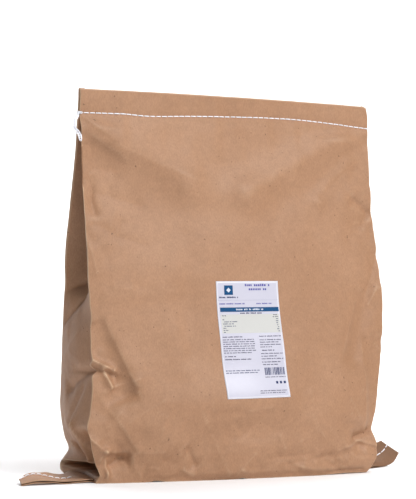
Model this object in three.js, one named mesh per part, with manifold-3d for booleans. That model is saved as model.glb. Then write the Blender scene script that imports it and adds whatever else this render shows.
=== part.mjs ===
// A gusseted kraft paper sack, filled with flour and shut by a chain stitch across its top and its bottom.
// Millimetres, +Z up. The front faces -Y, the width runs along X, and the sack stands on Z = 0.

import * as THREE from 'three';
import { mergeVertices } from 'three/addons/utils/BufferGeometryUtils.js';
import Module from 'manifold-3d';

const wasm = await Module();
wasm.setup();

// Driving dimensions of the flat sack and of what is on it.
const FLAT_WIDTH = 358;
const HEIGHT = 420;
const STRIP_HEIGHT = 25;
const SEAM_HEIGHT = HEIGHT - STRIP_HEIGHT;
const LABEL_WIDTH = 76;
const LABEL_HEIGHT = 127;
const LABEL_THICKNESS = 0.5;
const THREAD_RADIUS = 0.6;
const STITCH_PITCH = 7;
const CLEARANCE = 0.35;

// The thread bridges the faces of a curved surface, so it keeps this much more off the paper.
const THREAD_LIFT = CLEARANCE + THREAD_RADIUS + 0.5;

// The top seam's middle, measured from the centre of the whole bag's box.
const SEAM_CENTRE = new THREE.Vector3(16.5, -12.67, 0);

// The filled sack, level by level: where its four folded edges stand, how far the front and the back bulge
// past the line between their edges, and how deep each side fold goes in (negative where the side bulges out).
const LEVEL_NAMES = [
  'z', 'frontLeftX', 'frontLeftY', 'backLeftX', 'backLeftY',
  'frontRightX', 'frontRightY', 'backRightX', 'backRightY',
  'frontBulge', 'backBulge', 'leftFold', 'rightFold', 'foldMouth', 'foldCentre',
];
const LEVEL_ROWS = [
  [0, -172, -33, -171, 60, 150, -50, 160, 52, 13, 13, 8, 6, 0.44, 0.5],
  [8, -169, -33, -177, 64, 155, -51, 166, 56, 16, 16, 24, 14, 0.44, 0.5],
  [14, -171, -33, -176, 67, 157, -51, 168, 57, 17, 18, 26, 15, 0.44, 0.5],
  [22, -174, -34, -170, 69, 158, -50, 168, 58, 18, 20, 6, 3, 0.44, 0.5],
  [30, -177, -35, -165, 70, 158, -49, 166, 59, 19, 21, 0, 0, 0.44, 0.5],
  [45, -181, -36, -170, 71, 157, -48, 168, 60, 20, 22, -2, -3, 0.45, 0.5],
  [58, -183, -36, -173, 70, 160, -47, 171, 60, 20, 22, -6, -6, 0.46, 0.5],
  [74, -178, -35, -175, 69, 164, -46, 174, 60, 20, 22, -8, -8, 0.46, 0.5],
  [97, -175, -33, -176, 67, 168, -43, 176, 59, 19, 21, -7, -8, 0.46, 0.5],
  [125, -174, -30, -177, 63, 174, -38, 177, 57, 17, 19, -5, -6, 0.46, 0.5],
  [165, -176, -25, -177, 59, 180, -32, 178, 54, 14, 16, -2, -3, 0.46, 0.5],
  [195, -177, -23, -177, 56, 181, -29, 178, 51, 12, 14, 8, 7, 0.46, 0.5],
  [220, -177, -22, -177, 53, 180, -26, 178, 49, 11, 12, 26, 24, 0.46, 0.5],
  [250, -177, -20, -177, 50, 179, -21, 178, 46, 9, 10, 40, 40, 0.46, 0.5],
  [290, -177, -14, -177, 40, 178, -14, 178, 38, 6, 7, 48, 48, 0.46, 0.5],
  [330, -177, -9, -177, 27, 177, -9, 177, 26, 4, 4, 51, 51, 0.46, 0.5],
  [365, -178, -4, -178, 15, 178, -4, 178, 15, 2.5, 2, 50, 50, 0.45, 0.48],
  [385, -179, -2, -179.5, 9, 178.5, -2, 179, 9, 2, 0.5, 34, 34, 0.36, 0.42],
  [395, -179.5, -1, -180, 6.5, 179, -1, 179.5, 6.5, 2, -1.5, 12, 12, 0.16, 0.3],
  [408, -179, -1, -179.5, 5.5, 179, -1, 179.3, 5.5, 2.2, -2, 9, 9, 0.14, 0.3],
  [420, -179, -1, -179.3, 5, 177, -1, 177.3, 5, 2.5, -2.4, 8, 8, 0.14, 0.3],
];

// Folds and dents, in the order in which they catch the eye. Each runs from start to end on its face, which is
// given as X and Z on the front and the back and as Y and Z on the sides. The depth is how far the paper is
// pressed in along the fold, or stands out where it is negative. The widths say how fast that falls off to the
// right and to the left of someone who walks along the fold from start to end.
const FRONT_FOLDS = [
  { name: 'hollow beside the long fold', start: [-170, 156], end: [-137, 86], depth: 6, right: 18, left: 10 },
  { name: 'long fold at the left', start: [-157, 161], end: [-128, 96], depth: -2, right: 6, left: 20 },
  { name: 'pinch on the left edge', start: [-180, 121], end: [-152, 116], depth: 9, right: 10, left: 5 },
  { name: 'lip over the pinch', start: [-174, 131], end: [-150, 121], depth: -3, right: 5, left: 10 },
  { name: 'crease under the seam', start: [-158, 363], end: [-132, 347], depth: 3, right: 10, left: 12 },
  { name: 'upper dent by the left edge', start: [-172, 320], end: [-163, 288], depth: 2.5, right: 10, left: 9 },
  { name: 'lower dent by the left edge', start: [-177, 268], end: [-170, 254], depth: 1.5, right: 9, left: 8 },
  { name: 'ridge over the left corner', start: [-164, 33], end: [-134, 32], depth: -2, right: 12, left: 9 },
  { name: 'hollow in the left corner', start: [-160, 18], end: [-138, 15], depth: 4, right: 8, left: 10 },
  { name: 'broad slope below the seam', start: [102, 373], end: [45, 329], depth: 3, right: 26, left: 30 },
  { name: 'crease down to the right edge', start: [150, 375], end: [175, 335], depth: 2, right: 12, left: 10 },
  { name: 'upper dent by the right edge', start: [154, 308], end: [173, 292], depth: 2, right: 10, left: 8 },
  { name: 'middle dent by the right edge', start: [176, 242], end: [158, 206], depth: 4, right: 12, left: 10 },
  { name: 'long dent inside the right edge', start: [140, 172], end: [127, 126], depth: 4, right: 15, left: 14 },
  { name: 'hollow band down the right edge', start: [160, 132], end: [150, 58], depth: 6, right: 13, left: 10 },
  { name: 'pocket in the right corner', start: [146, 47], end: [128, 38], depth: 6, right: 9, left: 8 },
  { name: 'ridge under the right pocket', start: [176, 34], end: [114, 29], depth: -2, right: 8, left: 7 },
  { name: 'crease above the bottom', start: [108, 29], end: [48, 13], depth: 3, right: 8, left: 7 },
];
const BACK_FOLDS = [
  { name: 'long soft fold', start: [120, 190], end: [84, 96], depth: 6, right: 20, left: 12 },
  { name: 'diagonal crease', start: [-120, 350], end: [-60, 300], depth: 4, right: 18, left: 12 },
  { name: 'dent by an edge', start: [-168, 210], end: [-140, 150], depth: 6, right: 15, left: 13 },
  { name: 'crease above the bottom', start: [-140, 40], end: [-70, 22], depth: 4, right: 9, left: 8 },
  { name: 'pocket in a corner', start: [150, 60], end: [124, 34], depth: 5, right: 10, left: 9 },
];
const SIDE_FOLDS = [
  { name: 'crease from front to back', start: [-20, 226], end: [54, 204], depth: 5, right: 10, left: 13 },
  { name: 'crease inside the side fold', start: [46, 168], end: [2, 212], depth: 5, right: 10, left: 10 },
  { name: 'fold behind the pinch', start: [-28, 121], end: [30, 98], depth: 6, right: 9, left: 12 },
  { name: 'crease down the back edge', start: [50, 62], end: [26, 36], depth: 4, right: 8, left: 8 },
];

// The folds fade out over these heights: at the foot, below the top seam, and on the sides where they go deep.
const FOOT_FADE = [0, 12];
const SEAM_FADE = [370, 392];
const SIDE_FOOT_FADE = [8, 24];
const SIDE_TOP_FADE = [230, 260];

// How full the faces are between their edges: 2 would be a parabola, and more is flatter with tighter edges.
const FACE_FULLNESS = 2.6;

// How many strips of faces run across the front and each side fold, and up the sack between two levels.
const FACE_COLUMNS = 28;
const FOLD_COLUMNS = 8;
const LEVEL_STEP = 7.5;

// The strip of each bottom corner beyond the sack's side, station by station from under the sack to the tip:
// the raw edge of the paper, the stitched line, and the fold behind it.
const LEFT_EAR = [
  { raw: [-140, -24, 1.6], seam: [-140, 2, 2.4], back: [-140, 36, 4.6] },
  { raw: [-176, -23, 2.2], seam: [-178, 2, 5.3], back: [-172, 38, 6.6] },
  { raw: [-193, -24, 2.2], seam: [-191, 0, 3.2], back: [-186, 29, 5] },
  { raw: [-205, -24, 1.6], seam: [-203, 0, 3.4], back: [-199, 22, 6] },
  { raw: [-217, -24, 3.0], seam: [-216, 0, 6.5], back: [-213, 15, 8.5] },
  { raw: [-229, -24, 3.8], seam: [-228, -1, 9.0], back: [-226, 7, 9.6] },
  { raw: [-241, -24, 3.0], seam: [-238, -3, 8.0], back: [-237, 1, 8.4] },
  { raw: [-251, -24, 1.6], seam: [-248, -8, 4.6], back: [-247, -5, 5.0] },
];
const RIGHT_EAR = [
  { raw: [140, -24, 1.6], seam: [140, 4, 3.0], back: [140, 34, 8] },
  { raw: [166, -16, 1.4], seam: [166, 3, 6.0], back: [164, 26, 14] },
  { raw: [184, -8, 1.2], seam: [180, 0, 10], back: [174, 14, 20] },
  { raw: [200, -4, 1.4], seam: [190, 0, 14], back: [182, 8, 24] },
  { raw: [211, -3, 6.0], seam: [197, 0, 18], back: [188, 4, 27] },
  { raw: [218, -3, 16], seam: [204, 0, 25.5], back: [197, 2, 30.5] },
];
const EAR_THICKNESS = 2.4;
const LOWEST_PAPER = 0.2;

// The line of the top stitching: distance along the width, and height.
const TOP_STITCH_LINE = [
  [-179, 394], [-130, 395], [-98, 394], [-50, 396.6], [0, 398.6],
  [55, 400], [95, 399.6], [142, 397], [178, 394.6],
];

// The end of the top thread: a chain that hangs down the left side of the seam.
const TAIL_LINE = [
  [-181.2, 1.5, 394], [-183.4, -1.5, 391], [-187.2, -3, 385],
  [-186.4, -3.5, 377], [-181.6, -4.6, 371], [-180.6, -5.4, 366],
];
const TAIL_RADIUS = 1.4;
const TAIL_LOOPS = 8;

// Where the top thread goes round the left end of the seam: how far past it, and its steps from front to back.
const TURN_REACH = 2.6;
const TURN_DEPTHS = [-1.2, 1.6, 4.4, 7.2];
const THREAD_SIDES = 5;

const LABEL_CENTRE = [4.3, 150.4];
const LABEL_TILT = THREE.MathUtils.degToRad(0.8);

function smoothCurve(points) {
  return new THREE.CatmullRomCurve3(points.map((point) => new THREE.Vector3(...point)), false, 'centripetal');
}

// A value between the rows of the level table, by a cubic that neither overshoots nor flattens a row.
function levelAt(z) {
  let row = 0;
  while (row < LEVEL_ROWS.length - 2 && LEVEL_ROWS[row + 1][0] < z) row += 1;
  const [low, high] = [LEVEL_ROWS[row], LEVEL_ROWS[row + 1]];
  const before = LEVEL_ROWS[Math.max(row - 1, 0)];
  const after = LEVEL_ROWS[Math.min(row + 2, LEVEL_ROWS.length - 1)];
  const span = high[0] - low[0];
  const t = THREE.MathUtils.clamp((z - low[0]) / span, 0, 1);
  const level = {};
  LEVEL_NAMES.forEach((name, i) => {
    const slope = (high[i] - low[i]) / span;
    const slopeBefore = low === before ? slope : (low[i] - before[i]) / (low[0] - before[0]);
    const slopeAfter = high === after ? slope : (after[i] - high[i]) / (after[0] - high[0]);
    const startSlope = slope * slopeBefore > 0 ? (slope + slopeBefore) / 2 : 0;
    const endSlope = slope * slopeAfter > 0 ? (slope + slopeAfter) / 2 : 0;
    const cubic = (2 * t ** 3 - 3 * t ** 2 + 1) * low[i] + (3 * t ** 2 - 2 * t ** 3) * high[i];
    level[name] = cubic + span * ((t ** 3 - 2 * t ** 2 + t) * startSlope + (t ** 3 - t ** 2) * endSlope);
  });
  return level;
}

// How far the folds of a list press the paper in at one point of its face.
function foldDepth(folds, across, up) {
  let depth = 0;
  for (const fold of folds) {
    const alongX = fold.end[0] - fold.start[0];
    const alongZ = fold.end[1] - fold.start[1];
    const length = Math.hypot(alongX, alongZ);
    const dx = across - fold.start[0];
    const dz = up - fold.start[1];
    const along = (dx * alongX + dz * alongZ) / length;
    const beside = (dx * alongZ - dz * alongX) / length;
    const past = Math.max(-along, along - length, 0);
    const width = beside > 0 ? fold.right : fold.left;
    depth += fold.depth * Math.exp(-Math.abs(beside) / width - (past / fold.left) ** 2);
  }
  return depth;
}

// The front or the back at a share of the width, from -1 at the left edge to 1 at the right edge.
function facePoint(side, share, z) {
  const level = levelAt(z);
  const leftX = level[`${side}LeftX`];
  const rightX = level[`${side}RightX`];
  const leftY = level[`${side}LeftY`];
  const rightY = level[`${side}RightY`];
  const t = (share + 1) / 2;
  const x = leftX + (rightX - leftX) * t;
  const bulge = level[`${side}Bulge`] * (1 - Math.abs(share) ** FACE_FULLNESS);
  const outward = side === 'front' ? -1 : 1;
  const folds = side === 'front' ? FRONT_FOLDS : BACK_FOLDS;
  const fades = THREE.MathUtils.smoothstep(z, ...FOOT_FADE) * (1 - THREE.MathUtils.smoothstep(z, ...SEAM_FADE));
  const pressed = foldDepth(folds, x, z) * fades;
  return new THREE.Vector3(x, leftY + (rightY - leftY) * t + outward * (bulge - pressed), z);
}

// A side at a share of its depth, from 0 at the front edge to 1 at the back edge.
function sidePoint(side, share, z) {
  const level = levelAt(z);
  const frontX = level[`front${side}X`];
  const backX = level[`back${side}X`];
  const frontY = level[`front${side}Y`];
  const backY = level[`back${side}Y`];
  const open = Math.max(0, 1 - Math.abs(share - level.foldCentre) / level.foldMouth);
  const fold = level[`${side.toLowerCase()}Fold`];
  const rounded = fold < 0 ? Math.sin((open * Math.PI) / 2) : open;
  const inward = side === 'Left' ? 1 : -1;
  const y = frontY + (backY - frontY) * share;
  const risen = THREE.MathUtils.smoothstep(z, ...SIDE_FOOT_FADE);
  const fades = risen * (1 - THREE.MathUtils.smoothstep(z, ...SIDE_TOP_FADE));
  const pressed = foldDepth(SIDE_FOLDS, y, z) * fades * Math.sqrt(open);
  return new THREE.Vector3(frontX + (backX - frontX) * share + inward * (fold * rounded + pressed), y, z);
}

// The top edge isn't quite level: it rises a little to its middle and its right corner is blunted.
const TOP_BOW = 1.2;
const BLUNT_CORNER = { from: 165, to: 177, drop: 3 };
function topEdgeLift(x) {
  const bow = TOP_BOW * (1 - (x / (FLAT_WIDTH / 2)) ** 2);
  const past = Math.max(x - BLUNT_CORNER.from, 0) / (BLUNT_CORNER.to - BLUNT_CORNER.from);
  return bow - past ** 2 * BLUNT_CORNER.drop;
}

// One closed outline of the sack, anticlockwise from above: front, right side, back, left side.
function outlineAt(z) {
  const level = levelAt(z);
  const mouthFront = level.foldCentre - level.foldMouth;
  const mouthBack = level.foldCentre + level.foldMouth;
  const inner = FOLD_COLUMNS - 2;
  const shares = [];
  for (let i = 0; i <= inner; i += 1) shares.push(mouthFront + ((mouthBack - mouthFront) * i) / inner);
  const outline = [];
  for (let i = 0; i <= FACE_COLUMNS; i += 1) outline.push(facePoint('front', -1 + (2 * i) / FACE_COLUMNS, z));
  for (const share of shares) outline.push(sidePoint('Right', share, z));
  for (let i = 0; i <= FACE_COLUMNS; i += 1) outline.push(facePoint('back', 1 - (2 * i) / FACE_COLUMNS, z));
  for (const share of [...shares].reverse()) outline.push(sidePoint('Left', share, z));
  if (z > SEAM_HEIGHT) {
    const reach = (z - SEAM_HEIGHT) / STRIP_HEIGHT;
    for (const point of outline) point.z += topEdgeLift(point.x) * reach;
  }
  return outline;
}

// A closed solid through a stack of outlines that all have the same number of points.
function loft(outlines, capTriangles) {
  const count = outlines[0].length;
  const positions = outlines.flat().flatMap((point) => point.toArray());
  const index = [];
  for (let level = 0; level < outlines.length - 1; level += 1) {
    for (let i = 0; i < count; i += 1) {
      const a = level * count + i;
      const b = level * count + ((i + 1) % count);
      index.push(a, b, b + count, a, b + count, a + count);
    }
  }
  const last = (outlines.length - 1) * count;
  for (const [a, b, c] of capTriangles(outlines[0])) index.push(c, b, a);
  for (const [a, b, c] of capTriangles(outlines[outlines.length - 1])) index.push(last + a, last + b, last + c);
  const geometry = new THREE.BufferGeometry();
  geometry.setAttribute('position', new THREE.Float32BufferAttribute(positions, 3));
  geometry.setIndex(index);
  return geometry;
}

// The sack's own end: rungs between the front and the back, and fans into the two side folds.
function sackCap() {
  const inner = FOLD_COLUMNS - 1;
  const backRight = FACE_COLUMNS + inner + 1;
  const backOf = (column) => backRight + FACE_COLUMNS - column;
  const triangles = [];
  for (let i = 1; i < FACE_COLUMNS - 1; i += 1) {
    triangles.push([i, i + 1, backOf(i + 1)], [i, backOf(i + 1), backOf(i)]);
  }
  const fanBoth = (before, after, first, last, apex) => {
    for (let i = first; i < apex; i += 1) triangles.push([before, i, i + 1]);
    triangles.push([before, apex, after]);
    for (let i = apex; i < last; i += 1) triangles.push([after, i, i + 1]);
  };
  const halfWay = (inner - 1) / 2;
  fanBoth(FACE_COLUMNS - 1, backOf(FACE_COLUMNS - 1), FACE_COLUMNS, backRight, FACE_COLUMNS + 1 + halfWay);
  const backLeft = backOf(0);
  fanBoth(backOf(1), 1, backLeft, backLeft + inner, backLeft + 1 + halfWay);
  triangles.push([1, backLeft + inner, 0]);
  return triangles;
}

function fanCap(outline) {
  return outline.slice(2).map((_, i) => [0, i + 1, i + 2]);
}

function toSolid(geometry) {
  const bare = geometry.clone();
  bare.deleteAttribute('normal');
  bare.deleteAttribute('uv');
  const merged = mergeVertices(bare, 1e-4);
  const mesh = new wasm.Mesh({
    numProp: 3,
    vertProperties: new Float32Array(merged.attributes.position.array),
    triVerts: new Uint32Array(merged.index.array),
  });
  return new wasm.Manifold(mesh);
}

function toGeometry(solid) {
  const mesh = solid.getMesh();
  const geometry = new THREE.BufferGeometry();
  geometry.setAttribute('position', new THREE.BufferAttribute(mesh.vertProperties, 3));
  geometry.setIndex(new THREE.BufferAttribute(mesh.triVerts, 1));
  return geometry;
}

function sackBody() {
  const levels = [];
  for (let row = 0; row < LEVEL_ROWS.length - 1; row += 1) {
    const low = LEVEL_ROWS[row][0];
    const high = LEVEL_ROWS[row + 1][0];
    const steps = Math.max(1, Math.round((high - low) / LEVEL_STEP));
    for (let i = 0; i < steps; i += 1) levels.push(low + ((high - low) * i) / steps);
  }
  levels.push(HEIGHT);
  return loft(levels.map(outlineAt), sackCap);
}

// A bottom corner: the paper is thickest at the stitched line and lies down to its raw edge and its back fold.
function earSections(stations) {
  return stations.map(({ raw, seam, back }) => {
    const [rawPoint, seamPoint, backPoint] = [raw, seam, back].map((point) => new THREE.Vector3(...point));
    const along = backPoint.clone().sub(rawPoint).normalize();
    const under = new THREE.Vector3(0, along.z, -along.y).multiplyScalar(EAR_THICKNESS / 2);
    const top = [rawPoint, seamPoint, backPoint].map((point) => point.clone().sub(under));
    const bottom = [backPoint, seamPoint, rawPoint].map((point) => point.clone().add(under));
    const section = [...top, ...bottom];
    for (const point of section) point.z = Math.max(point.z, LOWEST_PAPER);
    return section;
  });
}

function sackGeometry() {
  const leftEar = loft(earSections(LEFT_EAR).reverse(), fanCap);
  const rightEar = loft(earSections(RIGHT_EAR), fanCap);
  return toGeometry(toSolid(sackBody()).add(toSolid(leftEar)).add(toSolid(rightEar)));
}

// The depth of the front or the back at a place on it, found by the share of the width that reaches it.
function faceDepth(side, x, z) {
  const level = levelAt(z);
  const leftX = level[`${side}LeftX`];
  const share = (2 * (x - leftX)) / (level[`${side}RightX`] - leftX) - 1;
  return facePoint(side, THREE.MathUtils.clamp(share, -1, 1), z).y;
}

// The label follows the belly of the sack, a little clear of it.
function labelGeometry() {
  const columns = 8;
  const rows = 12;
  const outlines = [];
  for (let j = 0; j <= rows; j += 1) {
    const front = [];
    const back = [];
    for (let i = 0; i <= columns; i += 1) {
      const across = LABEL_WIDTH * (i / columns - 0.5);
      const up = LABEL_HEIGHT * (j / rows - 0.5);
      const x = LABEL_CENTRE[0] + across * Math.cos(LABEL_TILT) - up * Math.sin(LABEL_TILT);
      const z = LABEL_CENTRE[1] + across * Math.sin(LABEL_TILT) + up * Math.cos(LABEL_TILT);
      const y = faceDepth('front', x, z) - CLEARANCE;
      front.push(new THREE.Vector3(x, y - LABEL_THICKNESS, z));
      back.unshift(new THREE.Vector3(x, y, z));
    }
    outlines.push([...front, ...back]);
  }
  const ladderCap = (outline) => {
    const triangles = [];
    const last = outline.length - 1;
    for (let i = 0; i < columns; i += 1) triangles.push([i, i + 1, last - i - 1], [i, last - i - 1, last - i]);
    return triangles;
  };
  return loft(outlines, ladderCap);
}

// A round thread along a list of points, with a radius at each point and closed ends.
function threadGeometry(points, radii, sides) {
  const outlines = points.map((point, i) => {
    const before = points[Math.max(i - 1, 0)];
    const after = points[Math.min(i + 1, points.length - 1)];
    const along = after.clone().sub(before).normalize();
    const beside = new THREE.Vector3().crossVectors(along, new THREE.Vector3(0.1, 0.2, 1)).normalize();
    const over = new THREE.Vector3().crossVectors(along, beside);
    const ring = [];
    for (let k = 0; k < sides; k += 1) {
      const angle = (2 * Math.PI * k) / sides;
      const arm = beside.clone().multiplyScalar(Math.cos(angle)).addScaledVector(over, Math.sin(angle));
      ring.push(point.clone().addScaledVector(arm, radii[i]));
    }
    return ring;
  });
  return loft(outlines, fanCap);
}

// A stitched thread is thinnest where it dives into the paper, which is at every second point.
function stitchRadii(points) {
  return points.map((_, i) => (i % 2 === 0 ? THREAD_RADIUS * 0.75 : THREAD_RADIUS));
}

// The top thread: a row of stitches along the front from right to left, round the left end and back again
// behind the seam.
function topSeamThread() {
  const line = smoothCurve(TOP_STITCH_LINE.map(([x, z]) => [x, 0, z]));
  const halves = 2 * Math.round(line.getLength() / STITCH_PITCH);
  const front = [];
  const back = [];
  for (let i = 0; i <= halves; i += 1) {
    const { x, z } = line.getPointAt(1 - i / halves);
    front.push(new THREE.Vector3(x, faceDepth('front', x, z) - THREAD_LIFT, z));
    back.unshift(new THREE.Vector3(x, faceDepth('back', x, z) + THREAD_LIFT + CLEARANCE, z));
  }
  const end = front[front.length - 1];
  const turn = TURN_DEPTHS.map((y) => new THREE.Vector3(end.x - TURN_REACH, y, end.z));
  const points = [...front, ...turn, ...back];
  return threadGeometry(points, stitchRadii(points), THREAD_SIDES);
}

// The loose end of the chain, a row of loops pulled close, hanging from the left end of the seam.
function topTailThread() {
  const points = smoothCurve(TAIL_LINE).getSpacedPoints(TAIL_LOOPS * 2);
  const radii = points.map((_, i) => (i % 2 === 0 ? TAIL_RADIUS : TAIL_RADIUS * 0.72));
  return threadGeometry(points, radii, THREAD_SIDES + 1);
}

function topStitchingGeometry() {
  return toGeometry(toSolid(topSeamThread()).add(toSolid(topTailThread())));
}

// The bottom thread where it shows, on one side of a corner, between two shares of its stitched line.
function bottomStitchingGeometry(stations, from, to, lift) {
  const line = smoothCurve(stations.map(({ seam }) => seam));
  const steps = 2 * Math.round((line.getLength() * (to - from)) / STITCH_PITCH);
  const points = [];
  for (let i = 0; i <= steps; i += 1) points.push(line.getPointAt(from + ((to - from) * i) / steps).add(lift));
  return threadGeometry(points, stitchRadii(points), THREAD_SIDES);
}

const LEFT_EAR_LIFT = new THREE.Vector3(0, 0, EAR_THICKNESS / 2 + THREAD_LIFT);
const RIGHT_EAR_LIFT = new THREE.Vector3(0, -1, 0.2).setLength(EAR_THICKNESS / 2 + THREAD_LIFT + 0.4);

const kraftPaper = () => new THREE.MeshStandardMaterial({ color: '#b99274', roughness: 0.85, metalness: 0 });
const labelPaper = () => new THREE.MeshStandardMaterial({ color: '#e8e6ef', roughness: 0.55, metalness: 0 });
const thread = () => new THREE.MeshStandardMaterial({ color: '#f2f2f4', roughness: 0.8, metalness: 0 });

const group = new THREE.Group();
function place(name, geometry, material) {
  const mesh = new THREE.Mesh(geometry, material);
  mesh.name = name;
  mesh.position.copy(SEAM_CENTRE);
  group.add(mesh);
}

place('sack', sackGeometry(), kraftPaper());
place('label', labelGeometry(), labelPaper());
place('top_stitching', topStitchingGeometry(), thread());
place('bottom_stitching_left', bottomStitchingGeometry(LEFT_EAR, 0.46, 0.9, LEFT_EAR_LIFT), thread());
place('bottom_stitching_right', bottomStitchingGeometry(RIGHT_EAR, 0.58, 0.97, RIGHT_EAR_LIFT), thread());

export default group;
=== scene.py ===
import math

import bmesh
import bpy
import numpy as np
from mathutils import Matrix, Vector


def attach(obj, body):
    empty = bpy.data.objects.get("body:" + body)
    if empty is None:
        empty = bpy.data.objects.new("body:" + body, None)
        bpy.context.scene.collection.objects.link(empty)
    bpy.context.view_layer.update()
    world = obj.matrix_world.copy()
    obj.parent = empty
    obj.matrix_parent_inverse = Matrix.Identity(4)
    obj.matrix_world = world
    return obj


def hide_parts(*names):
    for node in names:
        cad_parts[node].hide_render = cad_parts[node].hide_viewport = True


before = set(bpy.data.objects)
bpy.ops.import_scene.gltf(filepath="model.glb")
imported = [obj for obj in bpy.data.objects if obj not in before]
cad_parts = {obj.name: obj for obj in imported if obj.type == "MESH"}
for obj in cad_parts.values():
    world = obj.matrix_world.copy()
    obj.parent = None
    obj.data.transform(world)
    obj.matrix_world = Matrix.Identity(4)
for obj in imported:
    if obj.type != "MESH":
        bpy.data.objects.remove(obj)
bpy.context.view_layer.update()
scene = bpy.context.scene

# The camera stands low and to the left of the bag, about 1.8 metres away, and looks slightly up at it
# through a long lens, so that the front shows nearly flat and the folded left side as a narrow band. It and
# the sack are measured in millimetres from SEAM_CENTRE, the place on the floor under the top seam's middle.
MM = 0.001
SEAM_CENTRE = np.array([16.5, -12.67, 0.0])
CAMERA_PLACE = np.array([-782.75, -1600.46, 173.35])
CAMERA_TURN = -25.278
CAMERA_PITCH = 2.463
LENS_MM = 115.0
SENSOR_MM = 36.0

camera_data = bpy.data.cameras.new("camera")
camera_data.lens = LENS_MM
camera_data.sensor_fit = "VERTICAL"
camera_data.sensor_height = SENSOR_MM
camera_data.clip_end = 30.0
camera = bpy.data.objects.new("camera", camera_data)
camera.location = (CAMERA_PLACE + SEAM_CENTRE) * MM
camera.rotation_euler = (math.radians(90 + CAMERA_PITCH), 0, math.radians(CAMERA_TURN))
scene.collection.objects.link(camera)
scene.camera = camera
scene.view_settings.view_transform = "Standard"

# The sack is a tube of brown kraft paper with a fold let into each side. It was sewn flat across its bottom
# with the side folds opened out, filled with flour, and sewn across its top with the side folds laid in.
# X runs along its top seam and Z up from the floor.
HEIGHT = 420.0
FLAT_WIDTH = 358.0
SEAM_HEIGHT = 395.0
FACE_FULLNESS = 2.6
TOP_BOW = 1.2
FRONT_COLUMNS = 236
BACK_COLUMNS = 120
SIDE_COLUMNS = 48
EDGE_CROWDING = 0.45

# The top right corner is blunt: between the first two places along X it drops by the third value.
BLUNT_CORNER = (172.0, 178.0, 2.4)

# The pinch in the front left edge: its height, half height and depth, and the powers by which it fades
# across the front and towards the back.
PINCH_NOTCH = (117.5, 3.6, 6.5)
PINCH_FADE_ACROSS = 12
PINCH_FADE_BACK = 3

# The heights over which the listed creases grow from the foot and fade towards the top.
FOOT_FADE = (0, 12)
SEAM_FADE = (370, 392)
SIDE_FOOT_FADE = (8, 24)
SIDE_TOP_FADE = (230, 260)

# A crease's bottom is rounded over CREASE_ROUNDING. The listed creases and folds are drawn deeper by their
# strengths, so that soft light shows them as clearly as it does on the real paper.
CREASE_ROUNDING = 1.1
CREASE_STRENGTH = 1.3
FOLD_STRENGTH = 1.12

LEVEL_NAMES = (
    "z frontLeftX frontLeftY backLeftX backLeftY frontRightX frontRightY backRightX backRightY "
    "frontBulge backBulge leftFold rightFold foldMouth foldCentre"
).split()
LEVEL_ROWS = np.array([
    (0, -172, -33, -171, 60, 146, -50, 160, 52, 12.5, 14, 2, 6, 0.44, 0.5),
    (8, -169, -33, -177, 64, 153, -51, 166, 56, 17, 17, 7, 14, 0.44, 0.5),
    (14, -171, -33, -176, 67, 158, -51, 168, 57, 17.6, 18, 9, 18, 0.44, 0.5),
    (17, -172, -33, -174, 68, 160, -51, 168, 57, 17.8, 19, 7, 6, 0.44, 0.5),
    (22, -174, -34, -170, 69, 162, -50, 168, 58, 18, 20, 4, 2, 0.44, 0.5),
    (30, -177, -35, -165, 70, 161, -49, 166, 59, 19, 21, 0, 0, 0.44, 0.5),
    (45, -181, -36, -170, 71, 158, -48, 168, 60, 20, 22, -2, -3, 0.45, 0.5),
    (58, -183, -36, -173, 70, 162, -47, 171, 60, 20, 22, -6, -6, 0.46, 0.5),
    (74, -178, -35, -175, 69, 166.5, -46, 174, 60, 20, 22, -8, -8, 0.46, 0.5),
    (97, -175, -33, -176, 67, 171, -43, 176, 59, 19, 21, -7, -8, 0.46, 0.5),
    (125, -174, -30, -177, 63, 177, -38, 177, 57, 17, 19, -5, -6, 0.46, 0.5),
    (165, -173.5, -25, -177, 59, 180, -32, 178, 54, 14, 16, -2, -3, 0.46, 0.5),
    (195, -175.5, -23, -177, 56, 181, -29, 178, 51, 12, 14, 8, 7, 0.46, 0.5),
    (220, -177, -22, -177, 53, 180, -26, 178, 49, 11, 12, 26, 24, 0.46, 0.5),
    (250, -177, -20, -177, 50, 179, -21, 178, 46, 9, 10, 40, 40, 0.46, 0.5),
    (290, -177, -14, -177, 40, 178, -14, 178, 38, 6, 7, 48, 48, 0.46, 0.5),
    (330, -177, -9, -177, 27, 177, -9, 177, 26, 4, 4, 51, 51, 0.46, 0.5),
    (365, -178, -4, -178, 15, 178, -4, 178, 15, 2.5, 2, 50, 50, 0.45, 0.48),
    (385, -179, -2, -179.5, 9, 178.5, -2, 179, 9, 2, 0.5, 34, 34, 0.36, 0.42),
    (395, -179.5, -1, -180, 6.5, 179, -1, 179.5, 6.5, 2, -1.5, 12, 12, 0.16, 0.3),
    (408, -179, -1, -179.5, 5.5, 179, -1, 179.3, 5.5, 2.2, -2, 5, 6, 0.14, 0.3),
    (420, -179, -1, -179.3, 5, 177, -1, 177.3, 5, 2.5, -2.4, 4, 5, 0.14, 0.3),
])

# How finely the paper is drawn up the sack: below each height, the step between its rings.
LEVEL_STEPS = [(48, 1.3), (100, 2.4), (136, 1.4), (340, 2.7), (384, 2.2), (420, 1.6)]

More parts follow.
